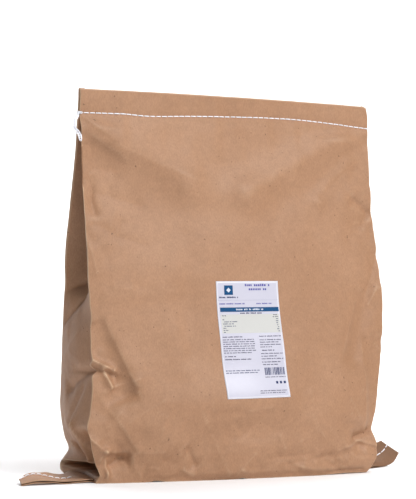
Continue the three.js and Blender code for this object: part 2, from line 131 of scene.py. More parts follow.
# A bend is a sharp line with paper sloping to it from both sides: it is pressed in by its depth, over the
# widths to the right and to the left of someone walking from its start to its end.
FRONT_BENDS = [
    ("upper dent by the left edge", (-173, 321), (-165, 287), 3.0, 7, 5),
    ("lower dent by the left edge", (-177, 268), (-171, 254), 1.2, 7, 6),
    ("lip of the pinch", (-179, 132), (-152, 118), -3.2, 2.2, 3.2),
    ("ridge of the pinch", (-163, 119), (-155, 101), -6.2, 5.0, 5),
    ("valley beside the pinch", (-149, 112), (-153, 98), 2.6, 7, 3),
    ("fold above the corner", (-177, 78), (-160, 70), 1.0, 6, 7),
    ("ridge above the bottom left corner", (-182, 48), (-164, 33), -3.6, 8, 4),
    ("ridge down the bottom left corner", (-164, 33), (-161, 4), -3.8, 5, 4),
    ("hollow under the light line", (-157, 18), (-143, 25), 5.0, 8, 5),
    ("hollow above the light line", (-128, 44), (-145, 36), 1.6, 7, 7),
    ("first curl at the bottom left corner", (-172, 14), (-165, 2), -2.2, 2.5, 3),
    ("second curl at the bottom left corner", (-160, 15), (-162, 3), -1.6, 2, 3),
    ("long crease left of the right edge", (149, 347), (112, 314), 1.9, 8, 9),
    ("short crease to the right edge", (159, 347), (176, 329), 1.6, 5, 6),
    ("smear below the right corner", (155, 391), (172, 377), 1.5, 5, 6),
    ("dimple by the right edge", (156, 308), (172, 296), 5.0, 6, 7),
    ("soft line under the seam", (88, 385), (85, 368), 0.5, 4, 5),
    ("soft line further left", (47, 350), (41, 331), 0.5, 5, 4),
    ("middle dent by the right edge", (178, 244), (164, 212), 3.0, 7, 8),
    ("dark crease from the left edge", (-166, 308), (-118, 296), 1.6, 16, 9),
    ("pocket in the bottom right corner", (150, 45), (131, 40), 7, 6, 6),
    ("crease below the ridge", (95, 21.5), (107, 14), 1.4, 4, 5),
    ("low light line", (44, 15), (93, 21.5), 1.6, 7, 5),
    ("soft line above the right corner", (103, 63), (138, 51.5), 1.2, 7, 8),
    ("upright crease near the bottom", (-73, 31), (-66, 10), 0.9, 5, 4),
    ("short dark crease by the foot", (-76, 35), (-67, 18), 1.8, 4, 3),
    ("bump under the short crease", (-80, 12), (-70, 6), -1.4, 3, 3),
    ("light line above the foot", (41, 18), (58, 11), -0.8, 3, 4),
    ("light line running to the corner", (58, 11), (86, 4), -1.0, 3, 4),
    ("facet over the right underside", (84, 19), (101, 10), 1.8, 6, 4),
    ("bump at the middle of the foot", (-13, 9), (-6, 2), -1.2, 3, 3),
    ("crease up from the foot", (8, 29), (2, 12), 1.0, 6, 5),
    ("crease beside the short one", (-101, 22), (-90, 29), 1.2, 5, 4),
    ("pale scratch", (-110, 73.5), (-101, 69.5), -0.35, 3, 3),
    ("pale star", (64, 89), (73, 92), -0.35, 2.5, 3),
    ("second pale star", (71, 94), (72, 84), -0.3, 2.5, 2.5),
    ("crease in the clipped corner", (160, 416), (172, 410), -0.5, 3, 3),
    ("crease down the clipped corner", (172, 410), (178, 398), -0.5, 3, 3),
]

# A tuck is a sharp line with flat paper on its right and paper that drops away on its left: it is pressed in
# by its depths at the start and the end, deepest at its reach from the line, and fades beyond its ends.
FRONT_TUCKS = [
    ("long fold at the left", (-129, 96), (-158, 168), 8.5, 5.0, 15, 7),
    ("foot of the long fold", (-138, 87), (-128, 97), 0.6, 1.6, 4, 2.5),
    ("slope down the right edge", (150, 146), (147, 52), 5.0, 8.5, 22, 8),
    ("diagonal fold under the seam", (-131, 347), (-160, 365), 2.8, 3.4, 15, 9),
    ("pull under the left end of the seam", (-148, 370), (-178, 391), 1.4, 2.4, 9, 8),
    ("shade under the left shoulder", (-60, 330), (-176, 374), 4.4, 4.0, 40, 20),
    ("overhang at the pinch", (-153, 116), (-181, 129.5), 2.6, 7.0, 2.8, 3),
    ("light line in the bottom left corner", (-139, 31.5), (-164, 32), 4.0, 3.4, 4.5, 3),
    ("fold down to the corner", (-133, 37), (-168, 91), 4.0, 1.5, 12, 6),
    ("side of the right hollow", (142, 190), (121, 136), 2.0, 3.0, 14, 12),
    ("right flank of the lower bulge", (176, 26), (137, 35.5), 3.0, 3.4, 5, 5),
    ("left flank of the lower bulge", (137, 35.5), (112, 28.5), 2.6, 2.6, 6, 5),
    ("edge over the right underside", (137, 6.5), (92, 4.5), 2.6, 1.6, 3.2, 5),
    ("shade above the label", (-82, 201), (-118, 211), 0.8, 0.8, 9, 12),
]

# A swell is a soft rise or hollow along a line, about as wide as it is given, pressed in by its depth.
FRONT_SWELLS = [
    ("left shoulder of the flattened top", (-176, 388), (-60, 324), -4.4, 20),
    ("right shoulder of the flattened top", (146, 386), (10, 314), -5.8, 17),
    ("middle of the flattened top", (-60, 312), (10, 312), -4.2, 20),
    ("right hollow", (158, 196), (138, 132), 4.8, 14),
    ("hollow under the right shoulder", (120, 330), (60, 306), 2.4, 18),
    ("soft fold to the right edge", (150, 352), (104, 308), -2.6, 9),
    ("upright hollow beside the label", (-64, 262), (-68, 134), 1.8, 13),
    ("upper edge of the belly", (-158, 196), (-100, 200), -1.6, 9),
    ("inner edge of the belly", (-92, 196), (-78, 120), -1.2, 12),
    ("lower edge of the belly", (-90, 84), (40, 88), -3.6, 20),
    ("hollow near the foot", (-64, 42), (22, 52), 4.0, 15),
    ("soft rise at the lower left", (-110, 60), (-96, 30), -1.2, 12),
    ("rise at the lower right", (70, 62), (128, 60), -2.2, 12),
]
BACK_SWELLS = [
    ("left shoulder of the flattened top", (160, 380), (40, 318), -3.0, 22),
    ("right shoulder of the flattened top", (-150, 380), (-20, 312), -3.0, 22),
    ("lower edge of the belly", (-90, 80), (80, 88), -2.4, 22),
    ("upright hollow", (20, 250), (28, 150), 1.6, 16),
]
BACK_BENDS = [
    ("long soft fold", (120, 190), (84, 96), 6, 20, 12),
    ("diagonal crease", (-120, 350), (-60, 300), 4, 18, 12),
    ("dent by an edge", (-168, 210), (-140, 150), 6, 15, 13),
    ("crease above the bottom", (-140, 40), (-70, 22), 4, 9, 8),
    ("pocket in a corner", (150, 60), (124, 34), 5, 10, 9),
    ("short crease under the seam", (30, 372), (58, 352), 1.4, 6, 8),
    ("ridge above a corner", (-176, 44), (-150, 30), -2, 7, 6),
]
BACK_TUCKS = [
    ("tuck from the middle to a corner", (-60, 128), (-118, 88), 3.0, 1.0, 14, 8),
    ("tuck under the long fold", (84, 96), (40, 80), 3.0, 0.8, 12, 8),
    ("edge over the underside", (-40, 5), (-100, 6.5), 1.8, 2.4, 3.2, 5),
]
SIDE_BENDS = [
    ("crease from front to back", (-20, 226), (54, 204), 3.4, 4, 6),
    ("crease inside the side fold", (51, 168), (-6, 211), 4.4, 5, 3),
    ("bump at the crease's foot", (57, 168), (58, 146), -2.4, 4, 4),
    ("fold behind the pinch", (-28, 121), (30, 98), 4.5, 11, 8),
    ("lower crease behind the pinch", (-22, 117), (50, 84), 1.2, 6, 9),
    ("light crease", (50, 60), (24, 36), -3.6, 4, 4),
    ("pocket's lower edge", (18, 35), (11, 23), 7, 4, 5),
    ("ridge beside the pocket", (2, 58), (-12, 26), -4.5, 3, 7),
    ("crease from the pinch to the foot", (-6, 96), (16, 62), 3.2, 4, 9),
    ("crease down the back edge", (52, 62), (36, 40), 4.5, 5, 5),
]


def smoothstep(value, low, high):
    share = np.clip((np.asarray(value, float) - low) / (high - low), 0, 1)
    return share * share * (3 - 2 * share)


def level_at(z):
    """The sack's measures at heights z, by a cubic that neither overshoots nor flattens a row."""
    z = np.asarray(z, float)
    heights = LEVEL_ROWS[:, 0]
    row = np.clip(np.searchsorted(heights, z, side="left") - 1, 0, len(heights) - 2)
    span = heights[row + 1] - heights[row]
    t = np.clip((z - heights[row]) / span, 0, 1)[..., None]
    slopes = np.diff(LEVEL_ROWS, axis=0) / np.diff(heights)[:, None]
    before = slopes[np.maximum(row - 1, 0)]
    here = slopes[row]
    after = slopes[np.minimum(row + 1, len(slopes) - 1)]
    start = np.where(here * before > 0, (here + before) / 2, 0)
    end = np.where(here * after > 0, (here + after) / 2, 0)
    low, high = LEVEL_ROWS[row], LEVEL_ROWS[row + 1]
    value = (2 * t**3 - 3 * t**2 + 1) * low + (3 * t**2 - 2 * t**3) * high
    value += span[..., None] * ((t**3 - 2 * t**2 + t) * start + (t**3 - t**2) * end)
    return {name: value[..., i] for i, name in enumerate(LEVEL_NAMES)}


def pinch_notch(z):
    """How far the pinch draws the front left edge in at heights z."""
    height, reach, depth = PINCH_NOTCH
    return depth * np.exp(-(((z - height) / reach) ** 2))


def along_line(across, up, start, end):
    """Where points lie by a line: at what share of it, how far to its right and how far past its ends."""
    along = np.array(end, float) - start
    length = np.hypot(*along)
    dx, dz = across - start[0], up - start[1]
    forward = (dx * along[0] + dz * along[1]) / length
    beside = (dx * along[1] - dz * along[0]) / length
    past = np.maximum(np.maximum(-forward, forward - length), 0)
    return np.clip(forward / length, 0, 1), beside, past


def bend_depth(bends, across, up):
    depth = np.zeros(np.broadcast(across, up).shape)
    for _, start, end, pressed, right, left in bends:
        _, beside, past = along_line(across, up, start, end)
        width = np.where(beside > 0, right, left)
        away = np.sqrt(beside**2 + CREASE_ROUNDING**2) - CREASE_ROUNDING
        depth += pressed * np.exp(-away / width - (past / left) ** 2)
    return depth


def swell_depth(swells, across, up):
    depth = np.zeros(np.broadcast(across, up).shape)
    for _, start, end, pressed, width in swells:
        _, beside, past = along_line(across, up, start, end)
        depth += pressed * np.exp(-(beside**2 + past**2) / width**2)
    return depth


def tuck_depth(tucks, across, up):
    depth = np.zeros(np.broadcast(across, up).shape)
    for _, start, end, first, last, reach, fade in tucks:
        share, beside, past = along_line(across, up, start, end)
        out = (np.sqrt(beside**2 + CREASE_ROUNDING**2) - beside) / 2 / reach
        depth += (first + (last - first) * share) * out * np.exp(1 - out - (past / fade) ** 2)
    return depth


# Handling leaves paper with broad soft waves and with many short creases, which meet more densely towards
# the edges and the foot. They are drawn at random, from fixed seeds, at their real size in millimetres.
WAVE_COUNT = 22


def soft_waves(rng, across, up, longest, shortest, height):
    total = np.zeros(across.shape)
    for _ in range(WAVE_COUNT):
        length = shortest * (longest / shortest) ** rng.random()
        turn, phase = rng.random(2) * 2 * np.pi
        travel = (across * np.cos(turn) + up * np.sin(turn)) * 2 * np.pi / length
        total += np.sin(travel + phase) * length / longest
    return total * height / np.sqrt(WAVE_COUNT / 2)


def short_creases(rng, across, up, count, place, lengths, depths, widths):
    """Sharp creases: place(rng) gives the middle of each, and lengths, depths and widths are ranges."""
    total = np.zeros(across.shape)
    for _ in range(count):
        middle = np.array(place(rng))
        turn = rng.random() * np.pi
        half = np.array([np.cos(turn), np.sin(turn)]) * rng.uniform(*lengths) / 2
        depth = rng.uniform(*depths) * rng.choice([-1, 1])
        bend = ("", middle - half, middle + half, depth, rng.uniform(*widths), rng.uniform(*widths))
        total += bend_depth([bend], across, up)
    return total


def anywhere(rng):
    return rng.uniform(-172, 172), rng.uniform(10, 385)


def near_foot(rng):
    return rng.uniform(-170, 165), 3 + 75 * rng.random() ** 1.7


def near_edge(rng):
    return rng.choice([-1, 1]) * (176 - 45 * rng.random() ** 1.6), rng.uniform(10, 340)


def on_side(rng):
    return rng.uniform(-35, 68), rng.uniform(12, 240)


# Each set of random creases: how many there are, where, and the ranges of their lengths, depths and widths.
LONG_CREASES = (46, anywhere, (25, 90), (0.1, 0.45), (4, 12))
EDGE_CREASES = (60, near_edge, (12, 45), (0.3, 1.2), (2.5, 7))
FOOT_CREASES = (70, near_foot, (12, 50), (0.3, 1.3), (2.5, 7))
SIDE_CREASES = (60, on_side, (12, 50), (0.2, 1.1), (3, 8))

# Each set of waves: its longest wave, its shortest and its height. The broad ones are weak in the top strip.
BROAD_WAVES = (150, 45, 0.9)
SMALL_WAVES = (26, 14, 0.08)
FINE_WAVES = (10, 5, 0.02)
UPRIGHT_WAVES = (60, 14, 0.7)
UPRIGHT_STRETCH = 0.2
SIDE_WAVES = (90, 30, 0.5)
SIDE_WAVE_FOOT = (0, 8)
SIDE_WAVE_TOP = (340, 380)
STRIP_WAVES = 0.3

# The stitches pull the plies together, so the paper is drawn in along them and puckers from hole to hole.
# A pull is a depth and how far it reaches from the seam. Under the label the paper lies calm.
STITCH_PITCH = 7.0
STITCH_PULL = (0.45, 2.6)
STITCH_PUCKER = 0.25
SEAM_PULL = (0.3, 9.0)
TOP_STITCH_LINE = np.array([
    (-179, 394), (-130, 395), (-98, 394), (-50, 396.6), (0, 398.6),
    (55, 400), (95, 399.6), (142, 397), (178, 394.6),
])
LABEL_CENTRE = np.array([4.3, 150.4])
LABEL_SIZE = np.array([76.0, 127.0])
LABEL_TILT = math.radians(0.8)
CALM_MARGIN = 2.0
CALM_FADE = 14.0
FOOT_RISE = (-2, 5)
CREASE_TOP = (378, 392)
SWELL_TOP = (376, 392)
UPRIGHT_RISE = (300, 400)


def seam_pull(x, z):
    away = z - np.interp(x, TOP_STITCH_LINE[:, 0], TOP_STITCH_LINE[:, 1])
    pucker = 0.5 + 0.5 * np.cos(x * 2 * np.pi / STITCH_PITCH)
    near = (STITCH_PULL[0] + STITCH_PUCKER * pucker) * np.exp(-((away / STITCH_PULL[1]) ** 2))
    return near + SEAM_PULL[0] * np.exp(-((away / SEAM_PULL[1]) ** 2))


def face_relief(side, x, z):
    """How far the front or the back is pressed in beside its main shape, by folds, creases and waves."""
    front = side == "front"
    rng = np.random.default_rng(11 if front else 12)
    beyond_x = np.maximum(np.abs(x - LABEL_CENTRE[0]) - LABEL_SIZE[0] / 2 - CALM_MARGIN, 0)
    beyond_z = np.maximum(np.abs(z - LABEL_CENTRE[1]) - LABEL_SIZE[1] / 2 - CALM_MARGIN, 0)
    calm = smoothstep(np.hypot(beyond_x, beyond_z), 0, CALM_FADE) if front else 1.0
    below_seam = 1 - smoothstep(z, *CREASE_TOP)
    creases = short_creases(rng, x, z, *LONG_CREASES) * below_seam
    creases += short_creases(rng, x, z, *EDGE_CREASES) * below_seam
    creases += short_creases(rng, x, z, *FOOT_CREASES)
    broad = soft_waves(rng, x, z, *BROAD_WAVES) * (STRIP_WAVES + (1 - STRIP_WAVES) * below_seam)
    relief = creases * calm + broad
    relief += soft_waves(rng, x, z, *SMALL_WAVES) * calm + soft_waves(rng, x, z, *FINE_WAVES)
    relief += swell_depth(FRONT_SWELLS if front else BACK_SWELLS, x, z) * (1 - smoothstep(z, *SWELL_TOP))
    relief += soft_waves(rng, x, UPRIGHT_STRETCH * z, *UPRIGHT_WAVES) * smoothstep(z, *UPRIGHT_RISE)
    relief += FOLD_STRENGTH * tuck_depth(FRONT_TUCKS if front else BACK_TUCKS, x, z)
    return relief * smoothstep(z, *FOOT_RISE) + seam_pull(x, z)


def face_point(side, share, z):
    """The front or the back at shares of the width, from -1 at the left edge to 1 at the right edge."""
    level = level_at(z)
    t = (share + 1) / 2
    x = level[side + "LeftX"] * (1 - t) + level[side + "RightX"] * t
    y = level[side + "LeftY"] * (1 - t) + level[side + "RightY"] * t
    if side == "front":
        x = x + pinch_notch(z) * (1 - t) ** PINCH_FADE_ACROSS
    outward = -1 if side == "front" else 1
    bends = FRONT_BENDS if side == "front" else BACK_BENDS
    fade = smoothstep(z, *FOOT_FADE) * (1 - smoothstep(z, *SEAM_FADE))
    bulge = level[side + "Bulge"] * (1 - np.abs(share) ** FACE_FULLNESS)
    pressed = CREASE_STRENGTH * bend_depth(bends, x, z) * fade + face_relief(side, x, z)
    return np.stack([x, y + outward * (bulge - pressed), z + 0 * x], axis=-1)


# The left side's paper sags over a slit across its foot and leaves a hollow behind the front edge. Places go
# by the share of the side's depth: the slit's height and half width change from the front edge to the back
# edge. The hollow's middle is at the share and the height of HOLLOW_PLACE, and leans back below it.
SLIT_DEPTH = 27.0
SLIT_HEIGHT = (13.0, 15.0)
SLIT_HALF = (5.2, 1.8)
SLIT_START = (0, 0.07)
SLIT_END = (0.86, 0.985)
HOLLOW_DEPTH = 24.0
HOLLOW_PLACE = (0.13, 52)
HOLLOW_LEAN = 0.0018
HOLLOW_WIDTH = 0.1
HOLLOW_FOOT = (15, 22)
HOLLOW_TOP = (40, 60)
HOLLOW_START = (0, 0.05)


def left_pockets(share, z):
    """How far the slit and the hollow draw the left side in."""
    height = SLIT_HEIGHT[0] + (SLIT_HEIGHT[1] - SLIT_HEIGHT[0]) * share
    half = SLIT_HALF[0] + (SLIT_HALF[1] - SLIT_HALF[0]) * share
    slit = SLIT_DEPTH * np.exp(-(((z - height) / half) ** 6))
    slit = slit * smoothstep(share, *SLIT_START) * (1 - smoothstep(share, *SLIT_END))
    away = (share - HOLLOW_PLACE[0] - HOLLOW_LEAN * (HOLLOW_PLACE[1] - z)) / HOLLOW_WIDTH
    hollow = HOLLOW_DEPTH * np.exp(-(away**2)) * smoothstep(share, *HOLLOW_START)
    return slit + hollow * smoothstep(z, *HOLLOW_FOOT) * (1 - smoothstep(z, *HOLLOW_TOP))


def side_point(side, share, z):
    """A side at shares of its depth, from 0 at the front edge to 1 at the back edge."""
    level = level_at(z)
    y = level["front" + side + "Y"] * (1 - share) + level["back" + side + "Y"] * share
    x = level["front" + side + "X"] * (1 - share) + level["back" + side + "X"] * share
    mouth = np.maximum(0, 1 - np.abs(share - level["foldCentre"]) / level["foldMouth"])
    fold = level[side.lower() + "Fold"]
    rounded = np.where(fold < 0, np.sin(mouth * np.pi / 2), mouth)
    fade = smoothstep(z, *SIDE_FOOT_FADE) * (1 - smoothstep(z, *SIDE_TOP_FADE))
    rng = np.random.default_rng(13 if side == "Left" else 14)
    creases = short_creases(rng, y, z, *SIDE_CREASES) + CREASE_STRENGTH * bend_depth(SIDE_BENDS, y, z)
    waves = soft_waves(rng, y, z, *SIDE_WAVES) * smoothstep(z, *SIDE_WAVE_FOOT)
    waves = waves * (1 - smoothstep(z, *SIDE_WAVE_TOP))
    pressed = creases * fade * np.sqrt(mouth) + waves * mouth
    inward = 1 if side == "Left" else -1
    if side == "Left":
        x = x + pinch_notch(z) * (1 - share) ** PINCH_FADE_BACK + left_pockets(share, z)
    return np.stack([x + inward * (fold * rounded + pressed), y, z + 0 * x], axis=-1)


def face_depth(side, x, z):
    level = level_at(z)
    left, right = level[side + "LeftX"], level[side + "RightX"]
    return face_point(side, np.clip(2 * (x - left) / (right - left) - 1, -1, 1), z)[..., 1]


# The front's lower edge stands a little off the floor in three places: their middles, half widths and lifts.
FOOT_LIFTS = [(-108, 7, 1.6), (-12, 5, 1.0), (118, 24, 1.2)]
FOOT_LIFT_TOP = 14
EDGE_BLEND = 6


def sack_rings():
    """The sack's outlines from the floor up, anticlockwise from above: front, right, back and left."""
    heights = [0.0]
    for top, step in LEVEL_STEPS:
        count = round((top - heights[-1]) / step)
        heights += list(np.linspace(heights[-1], top, count + 1)[1:])
    z = np.array(heights)[:, None]
    level = level_at(z)
    low, high = level["foldCentre"] - level["foldMouth"], level["foldCentre"] + level["foldMouth"]
    side_shares = low + (high - low) * np.linspace(0, 1, SIDE_COLUMNS + 1)
    shares = np.linspace(-1, 1, FRONT_COLUMNS + 1)
    shares += EDGE_CROWDING * np.sin(np.pi * shares) / np.pi
    front = face_point("front", shares + 0 * z, z)
    back = face_point("back", np.linspace(1, -1, BACK_COLUMNS + 1) + 0 * z, z)
    right = side_point("Right", side_shares, z)
    left = side_point("Left", side_shares, z)
    for points, side, front_edge, back_edge in ((right, "Right", -1, 0), (left, "Left", 0, -1)):
        front_shift = front[:, front_edge, 1:2] - level["front" + side + "Y"]
        back_shift = back[:, back_edge, 1:2] - level["back" + side + "Y"]
        points[..., 1] += front_shift * (1 - side_shares) ** EDGE_BLEND + back_shift * side_shares**EDGE_BLEND
    left = left[:, ::-1]
    for middle, width, lift in FOOT_LIFTS:
        near = np.exp(-(((front[..., 0] - middle) / width) ** 2)) * (1 - smoothstep(z, 0, FOOT_LIFT_TOP))
        front[..., 2] += lift * near
    rings = np.concatenate([front, right, back, left], axis=1)
    reach = np.clip((rings[..., 2] - SEAM_HEIGHT) / (HEIGHT - SEAM_HEIGHT), 0, 1)
    past = np.maximum(rings[..., 0] - BLUNT_CORNER[0], 0) / (BLUNT_CORNER[1] - BLUNT_CORNER[0])
    bow = TOP_BOW * (1 - (rings[..., 0] / (FLAT_WIDTH / 2)) ** 2)
    rings[..., 2] += (bow - past**2 * BLUNT_CORNER[2]) * reach
    return rings


# The top of the seam strip is open: the plies' cut edges stand side by side, with a slit between them.
PLY = 0.55
BACK_PLY_RISE = 0.8
BACK_PLY_RINGS = 6
MOUTH_INSET = 1.2
MOUTH_DEPTH = 9.0
MOUTH_GAP = 0.4


def top_mouth(rings):
    rim = rings[-1]
    is_back = np.zeros(len(rim), bool)
    is_back[FRONT_COLUMNS + SIDE_COLUMNS // 2 + 1 : -SIDE_COLUMNS // 2] = True
    rings[-BACK_PLY_RINGS:, is_back, 2] += np.linspace(0, BACK_PLY_RISE, BACK_PLY_RINGS)[:, None]
    inner, deep = rim.copy(), rim.copy()
    middle = (rim[:, 1].min() + rim[:, 1].max()) / 2
    inner[:, 1] += np.where(is_back, -PLY, PLY)
    inner[:, 0] *= 1 - MOUTH_INSET / (FLAT_WIDTH / 2)
    deep[:, 1] = middle + np.where(is_back, MOUTH_GAP, -MOUTH_GAP)
    deep[:, 0] *= 1 - MOUTH_DEPTH / (FLAT_WIDTH / 2)
    deep[:, 2] -= MOUTH_DEPTH
    return np.concatenate([rings, inner[None], deep[None]])


def ring_faces(ring_count, size):
    index = np.arange(ring_count * size).reshape(ring_count, size)
    low, high = index[:-1], index[1:]
    quads = np.stack([low, np.roll(low, -1, 1), np.roll(high, -1, 1), high], axis=-1)
    return quads.reshape(-1, 4).tolist()


def ladder_cap(first, upward):
    """Rungs from the front to the back of one ring, and a fan across each side fold."""
    back_first = FRONT_COLUMNS + SIDE_COLUMNS + 2
    size = back_first + BACK_COLUMNS + SIDE_COLUMNS + 2
    faces = []
    for i in range(FRONT_COLUMNS):
        here = back_first + round(BACK_COLUMNS * (1 - i / FRONT_COLUMNS))
        following = back_first + round(BACK_COLUMNS * (1 - (i + 1) / FRONT_COLUMNS))
        faces.append([i, i + 1, following] + ([here] if here != following else []))
    faces.append([FRONT_COLUMNS, *range(FRONT_COLUMNS + 1, back_first), back_first])
    faces.append([back_first + BACK_COLUMNS, *range(back_first + BACK_COLUMNS + 1, size), 0])
    faces = [[first + i for i in face] for face in faces]
    return faces if upward else [face[::-1] for face in faces]


def mesh_object(name, vertices, faces, materials, slots=None, smooth=True):
    mesh = bpy.data.meshes.new(name)
    mesh.from_pydata(((np.asarray(vertices) + SEAM_CENTRE) * MM).tolist(), [], faces)
    mesh.polygons.foreach_set("use_smooth", [smooth] * len(mesh.polygons))
    for material in materials:
        mesh.materials.append(material)
    if slots is not None:
        mesh.polygons.foreach_set("material_index", slots)
    piece = bpy.data.objects.new(name, mesh)
    scene.collection.objects.link(piece)
    return piece


# Paper wears pale where it is folded outwards by more than this slope. The shortest edge only keeps the slope
# from being divided by nothing.
WEAR_START = 0.02
SHORTEST_EDGE = 1e-5


def mark_worn(piece, scale):
    """Stores how sharply the paper is folded outwards at each point."""
    mesh = bmesh.new()
    mesh.from_mesh(piece.data)
    mesh.normal_update()
    worn = np.zeros(len(mesh.verts))
    for vertex in mesh.verts:
        ways = [vertex.co - edge.other_vert(vertex).co for edge in vertex.link_edges]
        slopes = [vertex.normal.dot(way) / max(way.length, SHORTEST_EDGE) for way in ways]
        worn[vertex.index] = sum(slopes) / max(len(slopes), 1)
    mesh.free()
    worn = np.clip((worn - WEAR_START) * scale, 0, 1)
    piece.data.attributes.new("worn", "FLOAT", "POINT").data.foreach_set("value", worn)


def linear(hex_colour):
    """An sRGB hex colour as the linear values that the shader works in."""
    channels = [int(hex_colour[i : i + 2], 16) / 255 for i in (1, 3, 5)]
    return (*[c / 12.92 if c <= 0.04045 else ((c + 0.055) / 1.055) ** 2.4 for c in channels], 1.0)


def add_node(tree, kind, settings=None, **links):
    """A node with its settings. Each link names an input, or its number after an i, and gives another
    node's output or a plain value."""
    node = tree.nodes.new(kind)
    for name, value in (settings or {}).items():
        setattr(node, name, value)
    for name, value in links.items():
        numbered = name[0] == "i" and name[1:].isdigit()
        socket = node.inputs[int(name[1:])] if numbered else node.inputs[name.replace("_", " ")]
        if isinstance(value, bpy.types.NodeSocket):
            tree.links.new(value, socket)
        else:
            socket.default_value = value
    return node


# Paper, ink, polyester and paint all bend light about as much.
TYPICAL_IOR = 1.5


def new_material(name, roughness, specular=0.5):
    material = bpy.data.materials.new(name)
    material.use_nodes = True
    shader = material.node_tree.nodes["Principled BSDF"]
    shader.inputs["Roughness"].default_value = roughness
    shader.inputs["IOR"].default_value = TYPICAL_IOR
    shader.inputs["Specular IOR Level"].default_value = specular
    return material, material.node_tree, shader


# Each pattern in the paper: its size in millimetres and its detail, then the range of the noise that counts
# and what that becomes. The fibres are drawn coarser than real ones, which are too fine to show.
KRAFT_PATTERNS = {
    "clouds": (62.5, 3.0, 0.36, 0.64, 0.0, 1.0),
    "mottling": (6.667, 3.0, 0.3, 0.7, 0.95, 1.05),
    "fibres": (1.111, 4.0, 0.3, 0.7, 0.9, 1.1),
    "specks": (3.846, 1.0, 0.755, 0.79, 0.0, 0.7),
}
FIBRE_SQUEEZE = (1.0, 1.0, 0.45)


def kraft_paper(name, dark, light, rubbed_light):
    """Unbleached kraft paper, smoothed on the machine: long fibres give it a fine cloudy grain with rare dark
    specks, it has hardly any gloss, and it is paler where a sharp fold has rubbed."""
    material, tree, shader = new_material(name, 0.6, specular=0.38)
    place = add_node(tree, "ShaderNodeTexCoord").outputs["Object"]
    upright = add_node(tree, "ShaderNodeMapping", Vector=place, Scale=FIBRE_SQUEEZE).outputs[0]
    noise, amount = {}, {}
    for pattern, (size, detail, low, high, start, end) in KRAFT_PATTERNS.items():
        vector = upright if pattern == "fibres" else place
        noise[pattern] = add_node(tree, "ShaderNodeTexNoise", Vector=vector, Scale=1 / (size * MM),
                                  Detail=detail).outputs["Fac"]
        amount[pattern] = add_node(tree, "ShaderNodeMapRange", Value=noise[pattern], i1=low, i2=high,
                                   i3=start, i4=end).outputs[0]
    base = add_node(tree, "ShaderNodeMix", {"data_type": "RGBA"}, i0=amount["clouds"],
                    i6=linear(dark), i7=linear(light)).outputs[2]
    tone = add_node(tree, "ShaderNodeMath", {"operation": "MULTIPLY"}, i0=amount["mottling"],
                    i1=amount["fibres"]).outputs[0]
    grained = add_node(tree, "ShaderNodeVectorMath", {"operation": "SCALE"}, i0=base, Scale=tone).outputs[0]
    rubbed = add_node(tree, "ShaderNodeAttribute", {"attribute_name": "worn"}).outputs["Fac"]
    paler = add_node(tree, "ShaderNodeMix", {"data_type": "RGBA"}, i0=rubbed, i6=grained,
                     i7=linear(rubbed_light)).outputs[2]
    specked = add_node(tree, "ShaderNodeMix", {"data_type": "RGBA"}, i0=amount["specks"], i6=paler,
                       i7=linear("#5a3d2a")).outputs[2]
    tree.links.new(specked, shader.inputs["Base Color"])
    bump = add_node(tree, "ShaderNodeBump", Height=noise["fibres"], Strength=0.3, Distance=0.2 * MM)
    tree.links.new(bump.outputs[0], shader.inputs["Normal"])
    return material


kraft = kraft_paper("kraft paper", "#9b7457", "#a17a5d", "#c6a789")
rings = top_mouth(sack_rings())
ring_size = rings.shape[1]
sack_faces = ring_faces(len(rings), ring_size)
sack_faces += ladder_cap(0, upward=False) + ladder_cap((len(rings) - 1) * ring_size, upward=True)
sack = mesh_object("sack_paper", rings.reshape(-1, 3), sack_faces, [kraft])
mark_worn(sack, 2.6)
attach(sack, "root")
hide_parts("sack")

# Each bottom corner runs out into an ear: the end of the flat bottom seam, with the stitches across it and
# the raw edges of its two plies in front of them. The left ear lies on the floor. The right one curls up, and
# its paper is a darker copy of the kraft: painted shade for the shade inside its curl.
LEFT_EAR = [
    ((-140, -24, 1.6), (-140, 2, 2.4), (-140, 36, 4.6)),
    ((-176, -23, 2.2), (-178, 2, 5.3), (-172, 38, 6.6)),
    ((-193, -24, 2.2), (-191, 0, 3.2), (-186, 29, 5)),
    ((-205, -24, 1.6), (-203, 0, 3.4), (-199, 22, 6)),
    ((-217, -24, 3.0), (-216, 0, 6.5), (-213, 15, 8.5)),
    ((-229, -24, 3.8), (-228, -1, 9.0), (-226, 7, 9.6)),
    ((-241, -24, 3.0), (-238, -3, 8.0), (-237, 1, 8.4)),
    ((-251, -24, 1.6), (-248, -8, 4.6), (-247, -5, 5.0)),
]
RIGHT_EAR = [
    ((140, -24, 1.6), (140, 4, 3.0), (140, 34, 8)),
    ((166, -16, 1.4), (166, 3, 6.0), (164, 26, 14)),
    ((184, -8, 1.2), (180, 0, 10), (174, 14, 20)),
    ((200, -4, 1.4), (190, 0, 14), (182, 8, 24)),
    ((211, -3, 6.0), (197, 0, 18), (188, 4, 27)),
    ((218, -3, 16), (204, 0, 25.5), (197, 2, 30.5)),
]
EAR_STEPS = 84
EAR_ACROSS = 22
EAR_LENGTH = 110.0
EAR_HALF_WIDTH = 24.0
EAR_ROUNDNESS = 0.55
EAR_WAVES = (40, 12, 0.5)
EAR_RELIEF = 0.7
SEAM_GAPE = 0.35
RAW_GAPE = 0.75
BACK_GAPE = 0.3
SEAM_GRIP = 0.16
UPPER_PLY_SETBACK = 0.07
UP_AND_FORWARD = np.array([0, -1, 2])
LOWEST_PAPER = 0.2
SPLINE_STEPS = 24


